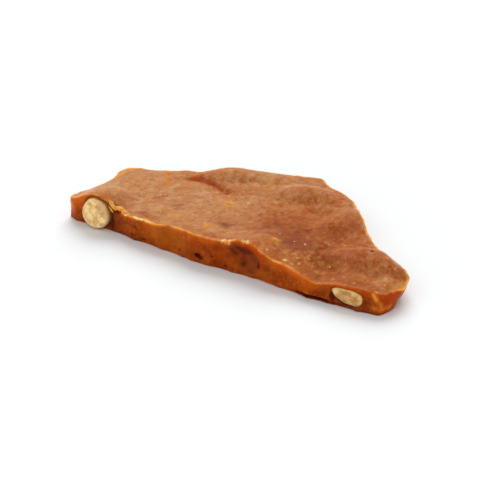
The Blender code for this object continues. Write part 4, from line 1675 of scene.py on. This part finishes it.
def cut_nut(name, middle, sizes, heading, tilt, cut, outward):
    """A nut with its torn face, and how far each of its points is from the rim of that face."""
    half_sizes = [size / 2 for size in sizes]
    shape = egg(half_sizes, heading, tilt, middle, NUT_BLUNTNESS, *DRESSED_NUT_GRID, *NUT_BUMPS[name])
    on_plane = Vector(placed(Vector(middle) + (cut - SET_BACK) * outward))
    geometry = [*shape.verts, *shape.edges, *shape.faces]
    plane = {"plane_co": on_plane, "plane_no": outward, "clear_outer": True}
    found = bmesh.ops.bisect_plane(shape, geom=geometry, dist=ON_THE_CUT, **plane)
    loop = ordered_loop([edge for edge in found["geom_cut"] if isinstance(edge, bmesh.types.BMEdge)])
    side = Vector((0.0, 0.0, 1.0)).cross(outward).normalized()
    flat = np.array([[(vert.co - on_plane).dot(side) / MM, (vert.co - on_plane).z / MM] for vert in loop])
    if np.sum(flat[:, 0] * np.roll(flat[:, 1], -1) - np.roll(flat[:, 0], -1) * flat[:, 1]) < 0:
        loop, flat = loop[::-1], flat[::-1]
    points, triangles = filled(flat, CUT_STEP)
    u, v = points[len(flat) :].T
    gap = np.hypot(u[:, None] - flat[:, 0], v[:, None] - flat[:, 1]).min(axis=1)
    rise = CROWN * np.sqrt(1.0 - (1.0 - np.clip(gap / CROWN_REACH, 0.0, 1.0)) ** 2)
    rise += ramp(gap, *TORN_FROM_RIM) * sum(tall * lumps(u, v, 3.0 + size, size) for tall, size in TORN)
    verts = list(loop)
    for across, up, out in zip(u, v, rise):
        offset = side * across + Vector((0.0, 0.0, up)) + outward * out
        verts.append(shape.verts.new(on_plane + offset * MM))
    for triangle in triangles:
        shape.faces.new([verts[index] for index in triangle])
    bmesh.ops.recalc_face_normals(shape, faces=shape.faces)
    shape.verts.index_update()
    from_rim = np.zeros(len(shape.verts))
    from_rim[[vert.index for vert in verts[len(loop) :]]] = gap
    mesh = bpy.data.meshes.new(name)
    shape.to_mesh(mesh)
    shape.free()
    return mesh, from_rim


# %% [markdown]
# ## Roasted peanut
#
# The kernel's flesh is an oily cream that scatters light for under a millimetre, so it is soft rather than
# chalky. Roasting tans it unevenly, and the broken face shows tan veins about two millimetres apart and a
# paler rim. The nut that keeps its papery skin is a dull red brown with fine wrinkles along it.

# %% Colours of the nuts
NUT_CREAM = "#FBDB9C"
NUT_TAN = "#BE8240"
VEIN_TAN = "#B07838"
PALE_RIM = "#F2CC90"
# Painted shade where the nut lies in its socket
SOCKET_SHADE = "#7E3E18"
NUT_LAYERS = [
    ("pale_rim", 0.6, PALE_RIM),
    ("socket_shade", 0.8, SOCKET_SHADE),
]
# Tan patches: size in millimetres, and how far they swing the toast over this span of the noise
TAN_MM = 1.7
TAN_DETAIL = 4.0
TAN_SPAN = (0.35, 0.65)
TAN_SWING = (-0.26, 0.46)
# The veins follow the places where a noise crosses its middle value, as far as this to each side
VEIN_MM = 2.4
VEIN_DETAIL = 2.0
VEIN_LEVEL = 0.5
VEIN_WIDTH = 0.08
VEIN_STRENGTH = 0.5
NUT_GRAIN_MM = 0.5
NUT_GRAIN_STRENGTH = 0.5
NUT_GRAIN_HEIGHT = 0.08

SKINNED_PEANUT = "peanut_back_left"
RED_SKIN_DARK = "#5A2014"
RED_SKIN = "#8E4226"
WORN_SKIN = "#C88A54"
# Wrinkles and worn places of the red skin: size in millimetres, and the part of the noise that shows them
WRINKLE_MM = 0.9
WRINKLE_DETAIL = 4.0
WRINKLE_SPAN = (0.3, 0.7)
# How much longer than wide the wrinkles are, as a share that their length is scaled by
WRINKLE_DRAWN = 0.3
WRINKLE_STRENGTH = 0.7
WRINKLE_HEIGHT = 0.1
WORN_MM = 2.4
WORN_SPAN = (0.58, 0.70)
WORN_MOST = 0.7
print("the veins are", VEIN_MM, "mm apart and the wrinkles", WRINKLE_MM, "mm")


# %% Roasted flesh
def roasted_flesh():
    """Cream nut flesh with tan patches, fine veins and a pale rim round the break."""
    values = {
        "IOR": 1.45,
        "Specular IOR Level": 0.3,
        "Roughness": 0.55,
        "Subsurface Weight": 0.7,
        "Subsurface Radius": (1.0, 0.6, 0.3),
        "Subsurface Scale": 0.6 * MM,
    }
    material, tree, shader = new_material("roasted_peanut_flesh", values)
    place = (add_node(tree, "ShaderNodeTexCoord", {}, {}), "Object")
    clouds = {"Vector": place, "Scale": per_mm(TAN_MM), "Detail": TAN_DETAIL}
    cloud = add_node(tree, "ShaderNodeTexNoise", {}, clouds)
    tan_level = (add_node(tree, "ShaderNodeAttribute", {"attribute_name": "tan_level"}, {}), "Fac")
    (start, end), (least, most) = TAN_SPAN, TAN_SWING
    swung = {"Value": cloud, "From Min": start, "From Max": end, "To Min": least, "To Max": most}
    tanned = add_node(tree, "ShaderNodeMapRange", {}, swung)
    darker_tan = add_node(tree, "ShaderNodeMath", {"operation": "ADD"}, {0: tan_level, 1: tanned})
    colour = tint(tree, linear(NUT_CREAM), darker_tan, (0.0, 1.0), NUT_TAN)
    veins = {"Vector": place, "Scale": per_mm(VEIN_MM), "Detail": VEIN_DETAIL}
    vein = add_node(tree, "ShaderNodeTexNoise", {}, veins)
    level = add_node(tree, "ShaderNodeMath", {"operation": "SUBTRACT"}, {0: vein, 1: VEIN_LEVEL})
    off_line = add_node(tree, "ShaderNodeMath", {"operation": "ABSOLUTE"}, {0: level})
    colour = tint(tree, colour, off_line, (VEIN_WIDTH, 0.0), VEIN_TAN, VEIN_STRENGTH)
    colour = lay_over(tree, colour, NUT_LAYERS)
    grains = {"Vector": place, "Scale": per_mm(NUT_GRAIN_MM), "Detail": DETAIL}
    grain = add_node(tree, "ShaderNodeTexNoise", {}, grains)
    add_surface(tree, shader, colour, grain, NUT_GRAIN_STRENGTH, NUT_GRAIN_HEIGHT)
    return material


# %% Papery red skin
def papery_skin():
    """Dull red-brown peanut skin, wrinkled along the nut, with paler worn places."""
    material, tree, shader = new_material("peanut_red_skin", {"Roughness": 0.62, "Specular IOR Level": 0.3})
    place = (add_node(tree, "ShaderNodeTexCoord", {}, {}), "Object")
    heading = PEANUTS[SKINNED_PEANUT][4]
    along = (0.0, 0.0, math.radians(-heading))
    stretched = {"Vector": place, "Rotation": along, "Scale": (WRINKLE_DRAWN, 1.0, 1.0)}
    drawn = add_node(tree, "ShaderNodeMapping", {"vector_type": "POINT"}, stretched)
    wrinkles = {"Vector": drawn, "Scale": per_mm(WRINKLE_MM), "Detail": WRINKLE_DETAIL}
    wrinkle = add_node(tree, "ShaderNodeTexNoise", {}, wrinkles)
    colour = tint(tree, linear(RED_SKIN_DARK), wrinkle, WRINKLE_SPAN, RED_SKIN)
    worn_places = {"Vector": place, "Scale": per_mm(WORN_MM), "Detail": DETAIL}
    worn = add_node(tree, "ShaderNodeTexNoise", {}, worn_places)
    colour = tint(tree, colour, worn, WORN_SPAN, WORN_SKIN, WORN_MOST)
    add_surface(tree, shader, colour, wrinkle, WRINKLE_STRENGTH, WRINKLE_HEIGHT)
    return material


# %% [markdown]
# Each nut is cut towards the outside of the slab. A nut cut across is opened at its end, so the cut faces
# the way that the nut leads. One that was split lengthwise is opened at its side, which is a quarter turn
# from there. Then it is painted with how much darker tan it is, its pale rim, and painted shade where it
# lies in its socket.

# %% Build the nuts
NUT_CREASE = 42.0
# How much darker tan each nut's face is
TAN_LEVEL = {"peanut_left_end": 0.10, "peanut_front_right": 0.50, "peanut_back_right": 0.35}
# All in millimetres. The pale rim fades out over this stretch, the face ends this far behind the cut, and
# the painted shade in the socket comes up over this stretch behind it
PALE_RIM_FADE = (0.1, 0.7)
FACE_DEPTH = 0.5
SOCKET_SHADE_SPAN = (0.4, 1.2)

flesh, skin = roasted_flesh(), papery_skin()
for name, (middle, *sizes, heading, tilt, cut) in PEANUTS.items():
    facing = math.radians(heading)
    if name in SPLIT_PEANUTS:
        facing += math.copysign(math.pi / 2, middle[1] - SLAB_MIDDLE[1])
    outward = Vector((math.cos(facing), math.sin(facing), 0.0))
    mesh, from_rim = cut_nut(name, middle, sizes, heading, tilt, cut, outward)
    nut = linked("dressed_" + name, mesh)
    behind = cut - SET_BACK - (points_of(mesh) - middle) @ np.array(outward)
    # How much darker tan the nut is
    paint(mesh, "tan_level", np.full(len(mesh.vertices), TAN_LEVEL.get(name, 0.0)))
    paint(mesh, "pale_rim", (1.0 - ramp(from_rim, *PALE_RIM_FADE)) * (behind < FACE_DEPTH))
    # Painted shade where the nut lies in its socket
    paint(mesh, "socket_shade", ramp(behind, *SOCKET_SHADE_SPAN))
    mesh.materials.append(skin if name == SKINNED_PEANUT else flesh)
    mesh.shade_smooth()
    mesh.set_sharp_from_angle(angle=math.radians(NUT_CREASE))
    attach(nut, "root")
    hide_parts(name)
    print(name, "has", len(mesh.polygons), "faces")

# %% [markdown]
# ## Crumbs and flakes
#
# Breaking a sheet leaves crumbs on it: clear golden splinters of candy and pale bits of nut. A splinter has
# flat faces and sharp edges, so each is the convex hull of a few random points, sunk a little in the skin.
# The draw is seeded, so the crumbs fall in the same places each time. Beside the left nut the lip broke
# into flakes, which are larger splinters that lean on the rim.

# %% Splinters as convex hulls
HULL_POINTS = 14
# How far out each point lies, as a share of the ellipsoid
HULL_REACH = (0.8, 1.0)


def add_splinter(shape, draw, middle, half_sizes, heading, tilt):
    """Adds one splinter, the hull of random points in an ellipsoid."""
    onto_slab = Matrix.Translation(placed(middle)) @ aimed(heading, tilt) @ Matrix.Scale(MM, 4)
    verts = []
    for _ in range(HULL_POINTS):
        spot = Vector([draw.gauss(0.0, 1.0) for _ in range(3)]).normalized()
        spot = Vector([side * size for side, size in zip(spot, half_sizes)]) * draw.uniform(*HULL_REACH)
        verts.append(shape.verts.new(onto_slab @ spot))
    hull = bmesh.ops.convex_hull(shape, input=verts)
    loose = [part for part in hull["geom_interior"] if isinstance(part, bmesh.types.BMVert)]
    bmesh.ops.delete(shape, geom=loose, context="VERTS")


def small_piece(name, shape, material):
    """Makes a piece of the scene from a shape, and returns its mesh."""
    mesh = bpy.data.meshes.new(name)
    shape.to_mesh(mesh)
    shape.free()
    mesh.materials.append(material)
    piece = linked(name, mesh)
    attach(piece, "root")
    print(name, "has", len(mesh.polygons), "faces")
    return mesh


def crumb_piece(name, crumbs, material, seed):
    """All crumbs of one kind as one object. Each crumb is its place, half sizes, heading and tilt."""
    draw = random.Random(seed)
    shape = bmesh.new()
    for crumb in crumbs:
        add_splinter(shape, draw, *crumb)
    small_piece(name, shape, material)


# %% [markdown]
# The crumbs need only simple finishes, as each is a pixel or two across: two colours in soft clouds, about
# as large as a crumb, so that no two look the same. Golden candy is so thin here that most of the light
# goes through it, and nut meal is pale and quite matt.

# %% Crumb materials
SPLINTER_AMBER = "#DE8414"
SPLINTER_GOLD = "#FFC25C"
SPLINTER_MM = 1.2
MEAL_TAN = "#D8B080"
MEAL_CREAM = "#F0DCB8"
MEAL_MM = 0.8


def clouded(name, values, size, dark, pale):
    """A material of two colours in soft clouds of that size in millimetres."""
    material, tree, shader = new_material(name, values)
    place = (add_node(tree, "ShaderNodeTexCoord", {}, {}), "Object")
    clouds = {"Vector": place, "Scale": per_mm(size), "Detail": DETAIL}
    cloud = add_node(tree, "ShaderNodeTexNoise", {}, clouds)
    colour = tint(tree, linear(dark), cloud, (0.0, 1.0), pale)
    tree.links.new(colour.outputs[MIXED_COLOUR], shader.inputs["Base Color"])
    return material


splinter_values = {
    "IOR": CARAMEL_IOR,
    "Roughness": 0.25,
    "Subsurface Weight": 1.0,
    "Subsurface Radius": (1.0, 0.5, 0.15),
    "Subsurface Scale": 0.7 * MM,
}
golden = clouded("golden_candy_splinter", splinter_values, SPLINTER_MM, SPLINTER_AMBER, SPLINTER_GOLD)
meal_values = {"Roughness": 0.7, "Specular IOR Level": 0.2}
meal = clouded("peanut_crumb", meal_values, MEAL_MM, MEAL_TAN, MEAL_CREAM)
print("crumb materials:", golden.name, "and", meal.name)

# %% [markdown]
# The few crumbs that stand out are listed one by one, and the rest fall at random. One that would hang over
# the broken edge is drawn again. Last come the torn shreds of the lip beside the left nut. They are lumpy
# where the flakes are sharp, so each is an egg with strong bumps.

# %% Scatter the crumbs
# Place and half length of the crumbs that stand out
GOLDEN_CRUMBS = [
    ((38.6, 22.0), 0.85),
    ((43.0, 5.7), 0.75),
    ((64.4, 7.2), 0.75),
    ((76.1, 2.2), 0.6),
    ((50.0, 2.4), 0.5),
]
PALE_CRUMBS = [
    ((43.0, 25.5), 0.55),
    ((71.3, 12.3), 0.5),
    ((29.3, 19.0), 0.4),
]
MORE_CRUMBS = 12
CRUMB_SIZES = (0.22, 0.42)
# The stretch of the skin that they fall on, along X and Y
CRUMB_FIELD = ((14.0, 98.0), (3.0, 28.0))
# Half sizes as shares of the half length, how deep a crumb is sunk as a share of it, and its tilt at most
CRUMB_SHAPE = (1.0, 0.75, 0.6)
CRUMB_SUNK = 0.44
CRUMB_TILT = 15.0
# A crumb lies on the skin only where these offsets from it are on the skin too
CRUMB_MARGIN = [(-1.0, -1.0), (1.0, -1.0), (1.0, 1.0), (-1.0, 1.0)]
# Beside the left nut: middle, half sizes, heading and tilt
RIM_FLAKES = [
    ((13.2, -0.4, 7.4), (1.5, 0.35, 0.3), -10.0, -42.0),
    ((12.3, 0.6, 8.9), (0.7, 0.5, 0.4), 20.0, -30.0),
    ((18.9, 0.6, 7.0), (1.2, 0.6, 0.4), 0.0, -2.0),
]
# Torn shreds of the lip, which are lumpy: the same, then how lumpy they are and the size of the lumps
LIP_SHREDS = [
    ((13.0, 0.7, 8.1), (1.9, 0.7, 0.5), -8.0, -36.0, 0.22, 1.1),
    ((15.2, 1.3, 7.3), (1.5, 1.0, 0.55), 6.0, -14.0, 0.25, 0.9),
    ((17.0, 0.9, 7.05), (1.1, 0.8, 0.4), -12.0, -4.0, 0.18, 0.8),
]
SHRED_GRID = (40, 24)


def crumbs_on_skin(chosen, seed):
    """Crumbs at the chosen places and a few more at random, each sunk a little in the skin."""
    draw = random.Random(seed)
    spots = list(chosen)
    while len(spots) < len(chosen) + MORE_CRUMBS:
        spot = tuple(draw.uniform(*stretch) for stretch in CRUMB_FIELD)
        size = draw.uniform(*CRUMB_SIZES)
        around = np.array([(spot[0] + dx, spot[1] + dy) for dx, dy in CRUMB_MARGIN])
        if inside(rows[-1][:, :2], around).all():
            spots.append((spot, size))
    made = []
    for (x, y), size in spots:
        half_sizes = [share * size for share in CRUMB_SHAPE]
        height = float(top_height(x, y)) + half_sizes[2] - CRUMB_SUNK * size
        heading, tilt = draw.uniform(0, 360), draw.uniform(-CRUMB_TILT, CRUMB_TILT)
        made.append(((x, y, height), half_sizes, heading, tilt))
    return made


def shred_piece(name, shreds, material):
    """Lumpy shreds of the lip as one object."""
    shape = bmesh.new()
    for middle, half_sizes, heading, tilt, bumps, bump_size in shreds:
        shred = egg(half_sizes, heading, tilt, middle, ROUND, *SHRED_GRID, bumps, bump_size)
        mesh = bpy.data.meshes.new("one_shred")
        shred.to_mesh(mesh)
        shred.free()
        shape.from_mesh(mesh)
    small_piece(name, shape, material).shade_smooth()


shred_piece("lip_shreds", LIP_SHREDS, golden)
crumb_piece("golden_crumbs", crumbs_on_skin(GOLDEN_CRUMBS, seed=5), golden, seed=6)
crumb_piece("rim_flakes", RIM_FLAKES, golden, seed=8)
crumb_piece("nut_crumbs", crumbs_on_skin(PALE_CRUMBS, seed=7), meal, seed=9)

# %% [markdown]
# ## Floor, light and camera
#
# The slab lies on white paper, a flat sheet far larger than the view. It gives back a little less red than
# green and blue, which takes some warmth out of the shadow that the candy throws on it.

# %% Floor
PAPER_WHITE = (0.885, 0.91, 0.915, 1.0)
FLOOR_REACH = 4.0
FLOOR_CORNERS = [(-1, -1), (1, -1), (1, 1), (-1, 1)]

floor = linked("floor", bpy.data.meshes.new("floor"))
spread_out = [(FLOOR_REACH * x, FLOOR_REACH * y, 0.0) for x, y in FLOOR_CORNERS]
floor.data.from_pydata(spread_out, [], [(0, 1, 2, 3)])
paper, _, paper_shader = new_material("white_paper", {"Roughness": 0.9, "Specular IOR Level": 0.0})
paper_shader.inputs["Base Color"].default_value = PAPER_WHITE
floor.data.materials.append(paper)
floor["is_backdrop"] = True
print("floor:", 2 * FLOOR_REACH, "m wide")

# %% [markdown]
# A large softbox stands low behind the slab. It lights the skin at a slant, which shows its relief, and
# throws a soft shadow towards the viewer. A weak one beside the camera and the white room fill in the
# front. Both are suns with a wide disc, because a far softbox gives the same light everywhere on a small
# object.

# %% Light
VIEW_AZIMUTH = 29.6
KEY_ELEVATION = 41.0
KEY_SPREAD = 48.0
KEY_STRENGTH = 2.5
FILL_AZIMUTH = VIEW_AZIMUTH - 20.0
FILL_ELEVATION = 22.0
FILL_SPREAD = 70.0
FILL_STRENGTH = 0.9
ROOM_WHITE = (1.0, 1.0, 1.0, 1.0)
ROOM_STRENGTH = 0.50

room = bpy.data.worlds.new("studio")
bpy.context.scene.world = room
room.use_nodes = True
room.node_tree.nodes["Background"].inputs["Color"].default_value = ROOM_WHITE
room.node_tree.nodes["Background"].inputs["Strength"].default_value = ROOM_STRENGTH


def softbox(name, azimuth, elevation, spread, strength):
    """A far, round softbox. Its azimuth is measured as a camera's is, and angles are in degrees."""
    light = bpy.data.lights.new(name, "SUN")
    light.energy = strength
    light.angle = math.radians(spread)
    turn, rise = math.radians(azimuth), math.radians(elevation)
    towards = Vector((math.sin(turn) * math.cos(rise), -math.cos(turn) * math.cos(rise), math.sin(rise)))
    box = bpy.data.objects.new(name, light)
    box.visible_glossy = False
    box.rotation_euler = towards.to_track_quat("Z", "Y").to_euler()
    bpy.context.scene.collection.objects.link(box)
    print(name, "shines from azimuth", round(azimuth, 1), "and elevation", elevation)


softbox("softbox_behind", VIEW_AZIMUTH + 180.0, KEY_ELEVATION, KEY_SPREAD, KEY_STRENGTH)
softbox("fill_by_camera", FILL_AZIMUTH, FILL_ELEVATION, FILL_SPREAD, FILL_STRENGTH)

# %% [markdown]
# The camera stands where it sees the slab from the front right and a little above, far away with a long
# lens, so the slab keeps its proportions. The Standard view keeps the colours as they were chosen.

# %% Camera
CAMERA_PLACE = Vector(placed((388.0, -469.2, 287.4)))
CAMERA_AIM = Vector(placed((46.3, 16.6, 0.0)))
LENS = 174.0
SENSOR_WIDTH = 36.0
# Nothing nearer than this, in metres, is drawn
NEAREST_DRAWN = 0.02

camera_data = bpy.data.cameras.new("camera")
camera_data.lens = LENS
camera_data.sensor_width = SENSOR_WIDTH
camera_data.clip_start = NEAREST_DRAWN
camera = bpy.data.objects.new("camera", camera_data)
bpy.context.scene.collection.objects.link(camera)
camera.location = CAMERA_PLACE
camera.rotation_euler = (CAMERA_AIM - CAMERA_PLACE).to_track_quat("-Z", "Y").to_euler()
bpy.context.scene.camera = camera
bpy.context.scene.view_settings.view_transform = "Standard"
print("camera distance in m:", round((CAMERA_AIM - CAMERA_PLACE).length, 3))

# %% [markdown]
# Last, the dressed slab's box is measured again. It should be the imported model's box to within a few tenths
# of a millimetre.

# %% Measure the size again
low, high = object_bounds()
sizes = {"cad": [list(cad_low), list(cad_high)], "visual": [list(low), list(high)]}
print("visual box in mm:", [round(1000 * side, 1) for side in high - low])
